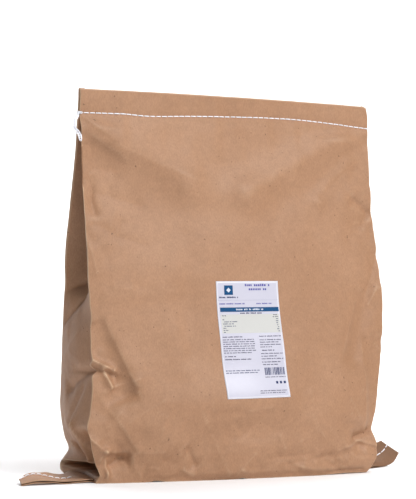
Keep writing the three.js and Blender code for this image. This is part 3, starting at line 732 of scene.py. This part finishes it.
def spline(points, count):
    """Points evenly spaced along a smooth curve through the given ones."""
    points = np.array(points, float)
    ends = np.concatenate([[2 * points[0] - points[1]], points, [2 * points[-1] - points[-2]]])
    t = np.linspace(0, 1, SPLINE_STEPS, endpoint=False)[:, None]
    parts = []
    for a, b, c, d in zip(ends[:-3], ends[1:-2], ends[2:-1], ends[3:]):
        bent = (2 * a - 5 * b + 4 * c - d) * t**2 + (3 * b - a - 3 * c + d) * t**3
        parts.append(0.5 * (2 * b + (c - a) * t + bent))
    dense = np.concatenate([*parts, points[-1:]])
    reach = np.concatenate([[0], np.cumsum(np.linalg.norm(np.diff(dense, axis=0), axis=1))])
    where = np.linspace(0, reach[-1], count)
    return np.stack([np.interp(where, reach, dense[:, k]) for k in range(3)], axis=1)


def grid_normals(grid):
    along = np.gradient(grid, axis=0)
    beside = np.gradient(grid, axis=1)
    normal = np.cross(along, beside)
    return normal / np.maximum(np.linalg.norm(normal, axis=-1, keepdims=True), 1e-9)


def slab(grid, thickness):
    """Vertices and faces of a closed thin sheet on both sides of a grid of points."""
    rows, columns = grid.shape[:2]
    offset = grid_normals(grid) * thickness / 2
    vertices = np.concatenate([(grid + offset).reshape(-1, 3), (grid - offset).reshape(-1, 3)])
    index = np.arange(rows * columns).reshape(rows, columns)
    a, b, c, d = index[:-1, :-1], index[1:, :-1], index[1:, 1:], index[:-1, 1:]
    top = np.stack([a, b, c, d], axis=-1).reshape(-1, 4)
    other = rows * columns
    faces = top.tolist() + (top[:, ::-1] + other).tolist()
    border = [*index[0, :], *index[1:, -1], *index[-1, -2::-1], *index[-2:0:-1, 0]]
    for here, following in zip(border, border[1:] + border[:1]):
        faces.append([here, following, following + other, here + other])
    return vertices, faces


def on_ear(rng):
    return rng.uniform(10, EAR_LENGTH), rng.uniform(-20, 20)


EAR_CREASES = (14, on_ear, (10, 30), (0.1, 0.5), (2, 5))


def ear_ply(stations, seed, upper):
    """One ply of an ear. The plies are sewn together at the seam and gape a little at their raw edges."""
    raw, seam, back = (spline([s[k] for s in stations], EAR_STEPS)[:, None] for k in range(3))
    t = np.linspace(-1, 1, EAR_ACROSS)[None, :, None]
    bowed = raw * (t * (t - 1) / 2) + seam * (1 - t * t) + back * (t * (t + 1) / 2)
    straight = seam * (1 - np.abs(t)) + np.where(t < 0, raw, back) * np.abs(t)
    grid = EAR_ROUNDNESS * bowed + (1 - EAR_ROUNDNESS) * straight
    rng = np.random.default_rng(seed)
    across = t[..., 0]
    distance = np.linspace(0, EAR_LENGTH, EAR_STEPS)[:, None] + 0 * across
    width = across * EAR_HALF_WIDTH + 0 * distance
    wave = soft_waves(rng, distance, width, *EAR_WAVES)
    wave += short_creases(rng, distance, width, *EAR_CREASES)
    free = 1 - np.exp(-((across / SEAM_GRIP) ** 2))
    gape = SEAM_GAPE + RAW_GAPE * smoothstep(-across, 0.1, 1) + BACK_GAPE * smoothstep(across, 0, 1)
    facing = grid_normals(grid)
    if facing[EAR_STEPS // 2, EAR_ACROSS // 2] @ UP_AND_FORWARD < 0:
        facing = -facing
    grid = grid + facing * ((gape if upper else -gape) + wave * free * EAR_RELIEF)[..., None]
    if upper:
        grid[:, 0] = (1 - UPPER_PLY_SETBACK) * grid[:, 0] + UPPER_PLY_SETBACK * grid[:, 1]
    grid[..., 2] = np.maximum(grid[..., 2], LOWEST_PAPER + PLY / 2)
    return grid


def ear(name, stations, seed, paper):
    vertices, faces = [], []
    for upper in (False, True):
        points, quads = slab(ear_ply(stations, seed + upper, upper), PLY)
        first = sum(len(v) for v in vertices)
        vertices.append(points)
        faces += [[first + i for i in quad] for quad in quads]
    piece = mesh_object(name, np.concatenate(vertices), faces, [paper])
    mesh = bmesh.new()
    mesh.from_mesh(piece.data)
    bmesh.ops.recalc_face_normals(mesh, faces=mesh.faces)
    mesh.to_mesh(piece.data)
    mesh.free()
    mark_worn(piece, 0.9)
    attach(piece, "root")
    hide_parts("sack")


# A darker copy of the kraft paper, as painted shade for the curled right ear, which stands in its own shade.
kraft_with_painted_shade = kraft_paper("kraft paper with painted shade", "#6f5039", "#77573f", "#93704f")
ear("left_ear", LEFT_EAR, 31, kraft)
ear("right_ear", RIGHT_EAR, 41, kraft_with_painted_shade)

# The label is a smooth white thermal label stuck on the belly. Its print is plain: fields of blue and warm
# grey, and lines of small blocks where words would be, all of ink that lies on the label's surface.
LABEL_THICKNESS = 0.25
LABEL_LIFT = 0.15
INK_LIFT = 0.05
LABEL_COLUMNS = 38
LABEL_ROWS = 64
MARGIN_WIDTH = 2.2
MARGIN_FADE = 0.6


def label_point(u, v, lift):
    """A place on the label, from its left edge to its right and from its top to its bottom, both 0 to 1."""
    across = LABEL_SIZE[0] * (np.asarray(u, float) - 0.5)
    up = LABEL_SIZE[1] * (0.5 - np.asarray(v, float))
    x = LABEL_CENTRE[0] + across * math.cos(LABEL_TILT) - up * math.sin(LABEL_TILT)
    z = LABEL_CENTRE[1] + across * math.sin(LABEL_TILT) + up * math.cos(LABEL_TILT)
    return np.stack([x, face_depth("front", x, z) - lift, z], axis=-1)


def label_stock():
    """Coated thermal label paper: a smooth cool white, with a whiter margin where the coating stops."""
    material, tree, shader = new_material("thermal label paper", 0.42)
    uv = add_node(tree, "ShaderNodeUVMap", {"uv_map": "label"}).outputs[0]
    centred = add_node(tree, "ShaderNodeVectorMath", {"operation": "SUBTRACT"}, i0=uv, i1=(0.5, 0.5, 0))
    size = add_node(tree, "ShaderNodeVectorMath", {"operation": "ABSOLUTE"}, i0=centred.outputs[0]).outputs[0]
    parts = add_node(tree, "ShaderNodeSeparateXYZ", Vector=size)
    margins = []
    for axis, length in enumerate(LABEL_SIZE):
        start = 0.5 - MARGIN_WIDTH / length
        margins.append(add_node(tree, "ShaderNodeMapRange", Value=parts.outputs[axis], i1=start,
                                i2=start + MARGIN_FADE / length).outputs[0])
    edge = add_node(tree, "ShaderNodeMath", {"operation": "MAXIMUM"}, i0=margins[0], i1=margins[1]).outputs[0]
    place = add_node(tree, "ShaderNodeTexCoord").outputs["Object"]
    clouds = add_node(tree, "ShaderNodeTexNoise", Vector=place, Scale=1 / (16.67 * MM), Detail=3.0)
    tint = add_node(tree, "ShaderNodeMix", {"data_type": "RGBA"}, i0=clouds.outputs["Fac"],
                    i6=linear("#b8b7c5"), i7=linear("#bebdca")).outputs[2]
    colour = add_node(tree, "ShaderNodeMix", {"data_type": "RGBA"}, i0=edge, i6=tint,
                      i7=linear("#d2d1da")).outputs[2]
    tree.links.new(colour, shader.inputs["Base Color"])
    grain = add_node(tree, "ShaderNodeTexNoise", Vector=place, Scale=1 / (0.667 * MM), Detail=2.0)
    bump = add_node(tree, "ShaderNodeBump", Height=grain.outputs["Fac"], Strength=0.1, Distance=0.05 * MM)
    tree.links.new(bump.outputs[0], shader.inputs["Normal"])
    return material


def printing_ink(name, dark, light):
    """Ink dried into the coating: about as smooth as the label, and a little thinner here and there."""
    material, tree, shader = new_material(name, 0.5, specular=0.25)
    place = add_node(tree, "ShaderNodeTexCoord").outputs["Object"]
    uneven = add_node(tree, "ShaderNodeTexNoise", Vector=place, Scale=1 / (1.429 * MM), Detail=2.0)
    colour = add_node(tree, "ShaderNodeMix", {"data_type": "RGBA"}, i0=uneven.outputs["Fac"],
                      i6=linear(dark), i7=linear(light)).outputs[2]
    tree.links.new(colour, shader.inputs["Base Color"])
    return material


u, v = np.meshgrid(np.linspace(0, 1, LABEL_COLUMNS + 1), np.linspace(0, 1, LABEL_ROWS + 1))
label_grid = label_point(u, v, LABEL_LIFT + LABEL_THICKNESS / 2)
label_vertices, label_faces = slab(label_grid, LABEL_THICKNESS)
label = mesh_object("label_paper", label_vertices, label_faces, [label_stock()])
label_uv = np.tile(np.stack([u.ravel(), v.ravel()], axis=1), (2, 1))
corners = np.zeros(len(label.data.loops), np.int32)
label.data.loops.foreach_get("vertex_index", corners)
label.data.uv_layers.new(name="label").data.foreach_set("uv", label_uv[corners].ravel())
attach(label, "root")
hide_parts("label")

# A field is its left, right, top and bottom edge, as shares of the label's width and height, and its ink. A
# line is its left end, right end and middle as shares, its letters' height in millimetres, and its ink.
BLUE, NAVY, GREY, VIOLET, TINT, WHITE, RULE = range(7)
inks = [
    printing_ink("blue flood ink", "#003c68", "#004874"),
    printing_ink("navy ink", "#101f4a", "#1a2c5c"),
    printing_ink("grey ink", "#2c2a44", "#3a3852"),
    printing_ink("violet ink", "#45448c", "#52519a"),
    printing_ink("warm grey tint", "#bbbbb8", "#c0c0bd"),
    printing_ink("unprinted white", "#c4c8d4", "#ccd0da"),
    printing_ink("pale rule ink", "#9d9cb0", "#a6a5b8"),
]
FIELDS = [
    (0.045, 0.985, 0.226, 0.264, BLUE),
    (0.045, 0.985, 0.286, 0.447, TINT),
    (0.02, 0.98, 0.163, 0.1655, RULE),
    (0.125, 0.262, 0.036, 0.118, BLUE),
    (0.80, 0.835, 0.862, 0.883, NAVY),
    (0.862, 0.897, 0.862, 0.883, NAVY),
    (0.924, 0.959, 0.862, 0.883, NAVY),
]
TEXT_LINES = [
    (0.46, 0.88, 0.036, 2.9, VIOLET), (0.52, 0.83, 0.071, 2.9, VIOLET),
    (0.04, 0.36, 0.14, 2.0, NAVY), (0.04, 0.47, 0.195, 1.7, VIOLET), (0.63, 0.9, 0.195, 1.7, VIOLET),
    (0.30, 0.76, 0.245, 2.0, WHITE), (0.36, 0.72, 0.277, 1.7, GREY),
    (0.07, 0.15, 0.297, 1.2, NAVY), (0.07, 0.10, 0.331, 1.2, NAVY), (0.09, 0.31, 0.349, 1.2, NAVY),
    (0.07, 0.25, 0.367, 1.2, NAVY), (0.09, 0.28, 0.386, 1.2, NAVY), (0.07, 0.12, 0.404, 1.2, NAVY),
    (0.07, 0.15, 0.422, 1.2, NAVY), (0.07, 0.11, 0.439, 1.2, NAVY),
    (0.885, 0.965, 0.293, 1.2, GREY), (0.875, 0.965, 0.310, 1.2, GREY), (0.925, 0.965, 0.328, 1.2, NAVY),
    (0.92, 0.965, 0.346, 1.2, NAVY), (0.925, 0.965, 0.363, 1.2, NAVY), (0.93, 0.965, 0.381, 1.2, NAVY),
    (0.94, 0.965, 0.398, 1.2, NAVY), (0.925, 0.965, 0.416, 1.2, NAVY), (0.94, 0.965, 0.434, 1.2, NAVY),
    (0.04, 0.36, 0.479, 1.35, GREY), (0.05, 0.23, 0.645, 1.35, GREY), (0.05, 0.46, 0.67, 1.4, GREY),
    (0.04, 0.57, 0.765, 1.2, NAVY), (0.04, 0.53, 0.784, 1.2, NAVY),
    (0.62, 0.97, 0.477, 1.35, GREY), (0.62, 0.97, 0.508, 1.2, GREY), (0.62, 0.92, 0.528, 1.2, GREY),
    (0.62, 0.95, 0.549, 1.2, GREY), (0.62, 0.82, 0.569, 1.2, GREY), (0.64, 0.84, 0.598, 1.35, GREY),
    (0.62, 0.97, 0.625, 1.2, GREY), (0.62, 0.87, 0.648, 1.2, GREY), (0.62, 0.97, 0.670, 1.2, GREY),
    (0.62, 0.92, 0.698, 1.2, GREY), (0.63, 0.88, 0.720, 1.2, GREY),
    (0.64, 0.97, 0.826, 1.1, GREY), (0.52, 0.96, 0.94, 1.1, GREY), (0.52, 0.94, 0.958, 1.1, GREY),
]
TEXT_LINES += [(0.04, 0.545 - 0.07 * (row == 6), 0.502 + 0.0187 * row, 1.2, GREY) for row in range(7)]
BARCODE = (0.645, 0.965, 0.745, 0.808)
BAR_WIDTHS = [0.35, 0.7, 1.05]
DIAMOND = [(0.1935, 0.056), (0.228, 0.077), (0.1935, 0.098), (0.159, 0.077)]
INK_STEP = 2.5

# A line's blocks, in shares of its letters' height: how wide they are, how far apart, and how far they rise
# above the middle or hang below it. A word has two to seven of them.
BLOCK_WIDTHS = (0.45, 0.75)
BLOCK_GAP = 0.22
WORD_GAP = 0.75
BLOCK_RISES = [0.36, 0.36, 0.5]
BLOCK_DROP = 0.36
WORD_BLOCKS = (2, 8)
ink_places, ink_faces, ink_slots = [], [], []


def ink_patch(left, right, top, bottom, ink, lift=INK_LIFT):
    """A rectangle of ink that follows the label, between shares of the label's width and height."""
    columns = max(1, round((right - left) * LABEL_SIZE[0] / INK_STEP))
    rows = max(1, round((bottom - top) * LABEL_SIZE[1] / INK_STEP))
    us, vs = np.meshgrid(np.linspace(left, right, columns + 1), np.linspace(top, bottom, rows + 1))
    first = sum(len(part) for part in ink_places)
    ink_places.append(np.stack([us.ravel(), vs.ravel(), np.full(us.size, lift)], axis=1))
    for j in range(rows):
        for i in range(columns):
            corner = first + j * (columns + 1) + i
            ink_faces.append([corner + columns + 1, corner + columns + 2, corner + 1, corner])
            ink_slots.append(ink)


def ink_line(rng, left, right, middle, height, ink):
    """A line of words, each a few small blocks of uneven width and height."""
    tall = height / LABEL_SIZE[1]
    wide = height / LABEL_SIZE[0]
    place = left
    while place < right:
        for _ in range(rng.integers(*WORD_BLOCKS)):
            width = rng.uniform(*BLOCK_WIDTHS) * wide
            if place + width > right:
                break
            rise = rng.choice(BLOCK_RISES) * tall
            ink_patch(place, place + width, middle - rise, middle + BLOCK_DROP * tall, ink, 2 * INK_LIFT)
            place += width + BLOCK_GAP * wide
        place += WORD_GAP * wide


for field in FIELDS:
    ink_patch(*field)
ink_rng = np.random.default_rng(51)
for line in TEXT_LINES:
    ink_line(ink_rng, *line)
bar = BARCODE[0]
while bar < BARCODE[1]:
    bar_width = ink_rng.choice(BAR_WIDTHS) / LABEL_SIZE[0]
    ink_patch(bar, min(bar + bar_width, BARCODE[1]), BARCODE[2], BARCODE[3], NAVY)
    bar += bar_width + ink_rng.choice(BAR_WIDTHS) / LABEL_SIZE[0]
diamond_first = sum(len(part) for part in ink_places)
ink_places.append(np.array([(*corner, 2 * INK_LIFT) for corner in DIAMOND]))
ink_faces.append([diamond_first + i for i in (3, 2, 1, 0)])
ink_slots.append(WHITE)
ink_u, ink_v, ink_rise = np.concatenate(ink_places).T
ink_vertices = label_point(ink_u, ink_v, LABEL_LIFT + LABEL_THICKNESS + ink_rise)
ink = mesh_object("label_print", ink_vertices, ink_faces, inks, ink_slots, smooth=False)
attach(ink, "root")
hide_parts("label")

# The sack is closed with a chain stitch of white spun polyester thread: a row of straight stitches on one
# side and a row of loops on the other. The top thread ends in a short chain at the left end of the seam.
THREAD_RADIUS = 0.62
TAIL_LINE = [
    (-181.2, 1.5, 394), (-183.4, -1.5, 391), (-187.2, -3, 385),
    (-186.4, -3.5, 377), (-181.6, -4.6, 371), (-180.6, -5.4, 366),
]


def spun_thread():
    """Spun polyester sewing thread: white with a slightly cool cast, matt and soft, as its short fibres
    scatter light inside it."""
    material, tree, shader = new_material("spun polyester thread", 0.75, specular=0.3)
    place = add_node(tree, "ShaderNodeTexCoord").outputs["Object"]
    fuzz = add_node(tree, "ShaderNodeTexNoise", Vector=place, Scale=1 / (0.714 * MM),
                    Detail=2.0).outputs["Fac"]
    colour = add_node(tree, "ShaderNodeMix", {"data_type": "RGBA"}, i0=fuzz,
                      i6=linear("#e6e8f0"), i7=linear("#fbfbff")).outputs[2]
    tree.links.new(colour, shader.inputs["Base Color"])
    shader.inputs["Sheen Weight"].default_value = 0.3
    bump = add_node(tree, "ShaderNodeBump", Height=fuzz, Strength=0.4, Distance=0.1 * MM)
    tree.links.new(bump.outputs[0], shader.inputs["Normal"])
    return material


thread = spun_thread()
STITCH_INPUTS = [
    ("Seam", "Geometry"), ("Pitch", "Float"), ("Stitch length", "Float"), ("Thread radius", "Float"),
    ("Dive", "Float"), ("Loop width", "Float"), ("Unevenness", "Float"), ("Seed", "Int"),
    ("Material", "Material"),
]
MULTIPLY = {"operation": "MULTIPLY"}

# A straight stitch is two strands twisted round each other, a loop is one. Each strand's radius is a share of
# the thread's, and a stitch runs level and dives into its holes by this power of the way to its ends.
STRAND_OFFSET = 0.28
STRAND_TURNS = 2.0
STRAND_STEPS = 7
LOOP_STEPS = 14
THREAD_SIDES = 6
STRAND_SHARE = 0.62
LOOP_SHARE = 0.8
DIVE_POWER = 4.0


def stitch_tree(name, looped):
    """Geometry nodes that set a stitch of two twisted strands, or a chain's loop, along a seam line."""
    tree = bpy.data.node_groups.new(name, "GeometryNodeTree")
    for input_name, kind in STITCH_INPUTS:
        tree.interface.new_socket(input_name, in_out="INPUT", socket_type="NodeSocket" + kind)
    tree.interface.new_socket("Stitches", in_out="OUTPUT", socket_type="NodeSocketGeometry")
    given = add_node(tree, "NodeGroupInput").outputs
    curve = add_node(tree, "GeometryNodeMeshToCurve", Mesh=given["Seam"]).outputs[0]
    points = add_node(tree, "GeometryNodeResampleCurve", {"mode": "LENGTH"}, Curve=curve,
                      Length=given["Pitch"]).outputs[0]
    tangent = add_node(tree, "GeometryNodeInputTangent").outputs[0]
    outward = add_node(tree, "GeometryNodeInputNamedAttribute", {"data_type": "FLOAT_VECTOR"},
                       Name="outward").outputs[0]
    turned = add_node(tree, "FunctionNodeAlignRotationToVector", {"axis": "X"}, Vector=tangent).outputs[0]
    facing = add_node(tree, "FunctionNodeAlignRotationToVector", {"axis": "Z", "pivot_axis": "X"},
                      Rotation=turned, Vector=outward).outputs[0]
    half = add_node(tree, "ShaderNodeMath", MULTIPLY, i0=given["Stitch length"], i1=0.5).outputs[0]
    if looped:
        circle = add_node(tree, "GeometryNodeCurvePrimitiveCircle", {"mode": "RADIUS"}, Resolution=LOOP_STEPS,
                          Radius=1.0).outputs[0]
        shape = add_node(tree, "ShaderNodeCombineXYZ", X=half, Y=given["Loop width"], Z=1.0).outputs[0]
        strand = add_node(tree, "GeometryNodeTransform", Geometry=circle, Scale=shape).outputs[0]
    else:
        spiral = add_node(tree, "GeometryNodeCurveSpiral", Resolution=STRAND_STEPS, Rotations=STRAND_TURNS,
                          Start_Radius=STRAND_OFFSET * MM, End_Radius=STRAND_OFFSET * MM,
                          Height=given["Stitch length"]).outputs[0]
        lying = add_node(tree, "GeometryNodeTransform", Geometry=spiral,
                         Rotation=(0, math.pi / 2, 0)).outputs[0]
        back = add_node(tree, "ShaderNodeMath", MULTIPLY, i0=half, i1=-1.0).outputs[0]
        middle = add_node(tree, "ShaderNodeCombineXYZ", X=back).outputs[0]
        first = add_node(tree, "GeometryNodeTransform", Geometry=lying, Translation=middle).outputs[0]
        second = add_node(tree, "GeometryNodeTransform", Geometry=first, Rotation=(math.pi, 0, 0)).outputs[0]
        twist = add_node(tree, "GeometryNodeJoinGeometry")
        tree.links.new(first, twist.inputs[0])
        tree.links.new(second, twist.inputs[0])
        strand = twist.outputs[0]
    place = add_node(tree, "GeometryNodeInputPosition").outputs[0]
    along = add_node(tree, "ShaderNodeSeparateXYZ", Vector=place).outputs[0]
    share = add_node(tree, "ShaderNodeMath", {"operation": "DIVIDE"}, i0=along, i1=half).outputs[0]
    distance = add_node(tree, "ShaderNodeMath", {"operation": "ABSOLUTE"}, i0=share).outputs[0]
    steep = add_node(tree, "ShaderNodeMath", {"operation": "POWER"}, i0=distance, i1=DIVE_POWER).outputs[0]
    drop = add_node(tree, "ShaderNodeMath", MULTIPLY, i0=steep, i1=given["Dive"]).outputs[0]
    down = add_node(tree, "ShaderNodeMath", MULTIPLY, i0=drop, i1=-1.0).outputs[0]
    dive = add_node(tree, "ShaderNodeCombineXYZ", Z=down).outputs[0]
    arched = add_node(tree, "GeometryNodeSetPosition", Geometry=strand, Offset=dive).outputs[0]
    thick = add_node(tree, "ShaderNodeMath", MULTIPLY, i0=given["Thread radius"],
                     i1=LOOP_SHARE if looped else STRAND_SHARE).outputs[0]
    profile = add_node(tree, "GeometryNodeCurvePrimitiveCircle", {"mode": "RADIUS"}, Resolution=THREAD_SIDES,
                       Radius=thick).outputs[0]
    stitch = add_node(tree, "GeometryNodeCurveToMesh", Curve=arched, Profile_Curve=profile,
                      Fill_Caps=True).outputs[0]
    uneven = given["Unevenness"]
    less = add_node(tree, "ShaderNodeMath", {"operation": "SUBTRACT"}, i0=1.0, i1=uneven).outputs[0]
    more = add_node(tree, "ShaderNodeMath", {"operation": "ADD"}, i0=1.0, i1=uneven).outputs[0]
    grown = add_node(tree, "FunctionNodeRandomValue", {"data_type": "FLOAT"}, i2=less, i3=more,
                     Seed=given["Seed"]).outputs[1]
    placed = add_node(tree, "GeometryNodeInstanceOnPoints", Points=points, Instance=stitch, Rotation=facing,
                      Scale=grown).outputs[0]
    real = add_node(tree, "GeometryNodeRealizeInstances", Geometry=placed).outputs[0]
    smooth = add_node(tree, "GeometryNodeSetShadeSmooth", Geometry=real).outputs[0]
    sewn = add_node(tree, "GeometryNodeSetMaterial", Geometry=smooth, Material=given["Material"]).outputs[0]
    add_node(tree, "NodeGroupOutput", Stitches=sewn)
    return tree


stitch_trees = {False: stitch_tree("straight stitches", False), True: stitch_tree("chain loops", True)}


def stitched_mesh(line, outward, looped, sizes, seed):
    """Runs the stitch nodes along a line, with an outward direction at each point, and returns the mesh."""
    path = bpy.data.meshes.new("seam line")
    points = (np.asarray(line) + SEAM_CENTRE) * MM
    path.from_pydata(points.tolist(), [(i, i + 1) for i in range(len(points) - 1)], [])
    directions = np.broadcast_to(np.asarray(outward, float), points.shape).astype(float)
    path.attributes.new("outward", "FLOAT_VECTOR", "POINT").data.foreach_set("vector", directions.ravel())
    seam = bpy.data.objects.new("seam line", path)
    scene.collection.objects.link(seam)
    modifier = seam.modifiers.new("stitches", "NODES")
    modifier.node_group = stitch_trees[looped]
    sockets = {s.name: s.identifier for s in modifier.node_group.interface.items_tree if s.in_out == "INPUT"}
    for name, value in {**sizes, "Seed": seed, "Material": thread}.items():
        modifier[sockets[name]] = value
    evaluated = seam.evaluated_get(bpy.context.evaluated_depsgraph_get())
    mesh = bpy.data.meshes.new_from_object(evaluated)
    bpy.data.objects.remove(seam)
    return mesh


def thread_piece(name, meshes, node):
    joined = bmesh.new()
    for mesh in meshes:
        joined.from_mesh(mesh)
        bpy.data.meshes.remove(mesh)
    data = bpy.data.meshes.new(name)
    joined.to_mesh(data)
    joined.free()
    data.materials.clear()
    data.materials.append(thread)
    data.polygons.foreach_set("material_index", [0] * len(data.polygons))
    piece = bpy.data.objects.new(name, data)
    scene.collection.objects.link(piece)
    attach(piece, "root")
    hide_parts(node)


STRAIGHT = {
    "Pitch": STITCH_PITCH * MM, "Stitch length": 5.9 * MM, "Thread radius": THREAD_RADIUS * MM,
    "Dive": 1.2 * MM, "Unevenness": 0.07,
}
LOOPS = {
    "Pitch": STITCH_PITCH / 2 * MM, "Stitch length": 4.6 * MM, "Thread radius": 0.45 * MM,
    "Dive": 0.3 * MM, "Loop width": 1.0 * MM, "Unevenness": 0.12,
}
TAIL = {
    "Pitch": 2.0 * MM, "Stitch length": 4.4 * MM, "Thread radius": 0.5 * MM,
    "Dive": 0.2 * MM, "Loop width": 1.9 * MM, "Unevenness": 0.25,
}
SEAM_STEPS = 160
TURN_STEPS = 16
TAIL_STEPS = 60
STITCH_LIFT = 0.9
LOOP_LIFT = 0.8
TAIL_SHIFT = (0.3, 0.4, -1.2)

seam_line = spline([(x, 0, z) for x, z in TOP_STITCH_LINE], SEAM_STEPS)
front_line, back_line = seam_line.copy(), seam_line.copy()
front_line[:, 1] = face_depth("front", seam_line[:, 0], seam_line[:, 2]) - THREAD_RADIUS * STITCH_LIFT
back_line[:, 1] = face_depth("back", seam_line[:, 0], seam_line[:, 2]) + LOOP_LIFT
tail_line = spline(TAIL_LINE, TAIL_STEPS)
turn_line = spline([front_line[0], (-181.4, 0.5, 394), (-181.8, 4.0, 394), back_line[0]], TURN_STEPS)
top_meshes = [
    stitched_mesh(front_line, (0, -1, 0), False, STRAIGHT, 1),
    stitched_mesh(back_line, (0, 1, 0), True, LOOPS, 2),
    stitched_mesh(turn_line, (-1, 0, 0), True, LOOPS, 3),
    stitched_mesh(tail_line, (-1, -0.6, 0), True, TAIL, 4),
    stitched_mesh(tail_line + TAIL_SHIFT, (0.3, -1, 0), True, TAIL, 5),
]
thread_piece("top_thread", top_meshes, "top_stitching")


def ear_thread(name, stations, first, last, node):
    """The bottom seam's stitches where an ear shows them, on its face that is turned up."""
    raw, seam, back = (spline([s[k] for s in stations], EAR_STEPS) for k in range(3))
    outward = np.cross(np.gradient(seam, axis=0), back - raw)
    outward /= np.linalg.norm(outward, axis=1, keepdims=True)
    outward *= np.sign(outward @ UP_AND_FORWARD)[:, None]
    shown = slice(round(first * EAR_STEPS), round(last * EAR_STEPS))
    line = (seam + outward * (SEAM_GAPE + PLY / 2 + THREAD_RADIUS))[shown]
    thread_piece(name, [stitched_mesh(line, outward[shown], False, STRAIGHT, 6)], node)


ear_thread("left_ear_thread", LEFT_EAR, 0.44, 0.95, "bottom_stitching_left")
ear_thread("right_ear_thread", RIGHT_EAR, 0.55, 0.99, "bottom_stitching_right")


# The bag stands on a white sweep, as on a photographer's table: a painted sheet that rises behind it in a
# curve. The main light is soft and stands in front of the bag, above it and to its right, and the room is
# dim, which leaves the folded left side in shade. Lights and sweep are measured in metres.
SWEEP_DEPTH = 1.7
SWEEP_RISE = 2.4
SWEEP_RADIUS = 0.8
SWEEP_REACH = 2.2
SWEEP_STEPS = 12


def white_sweep():
    material, _, shader = new_material("white painted sweep", 0.9)
    shader.inputs["Base Color"].default_value = linear("#fafafb")
    turns = [math.pi / 2 * i / SWEEP_STEPS for i in range(SWEEP_STEPS + 1)]
    profile = [(-SWEEP_REACH, 0.0)]
    profile += [(SWEEP_DEPTH + SWEEP_RADIUS * math.sin(a), SWEEP_RADIUS * (1 - math.cos(a))) for a in turns]
    profile.append((SWEEP_DEPTH + SWEEP_RADIUS, SWEEP_RISE))
    mesh = bmesh.new()
    left, right = [[mesh.verts.new((x, y, z)) for y, z in profile] for x in (-SWEEP_REACH, SWEEP_REACH)]
    for i in range(len(profile) - 1):
        mesh.faces.new((left[i], right[i], right[i + 1], left[i + 1]))
    data = bpy.data.meshes.new("floor")
    mesh.to_mesh(data)
    mesh.free()
    data.materials.append(material)
    data.polygons.foreach_set("use_smooth", [True] * len(data.polygons))
    floor = bpy.data.objects.new("floor", data)
    scene.collection.objects.link(floor)


def soft_light(name, place, aim, width, height, watts):
    data = bpy.data.lights.new(name, "AREA")
    data.shape = "RECTANGLE"
    data.size = width
    data.size_y = height
    data.energy = watts
    light = bpy.data.objects.new(name, data)
    light.location = place
    light.rotation_euler = (Vector(aim) - Vector(place)).to_track_quat("-Z", "Y").to_euler()
    scene.collection.objects.link(light)


white_sweep()
soft_light("main light", (1.1, -3.1, 2.9), (0, 0, 0.2), 0.8, 0.8, 117)
soft_light("front light", (-0.2, -2.6, 0.8), (0, 0, 0.2), 0.9, 0.7, 10)
soft_light("overhead light", (0.3, -1.9, 3.2), (0.05, -0.5, 0), 1.3, 1.1, 50)
soft_light("back light", (0.5, 0.8, 2.8), (0.1, -0.3, 0), 1.6, 1.4, 24)
soft_light("backdrop light", (0.8, 1.0, 2.5), (1.0, 2.5, 0.6), 3.0, 0.8, 70)
world = bpy.data.worlds.new("dim room")
world.use_nodes = True
background = world.node_tree.nodes["Background"]
background.inputs["Color"].default_value = linear("#f2f4ff")
background.inputs["Strength"].default_value = 0.05
scene.world = world
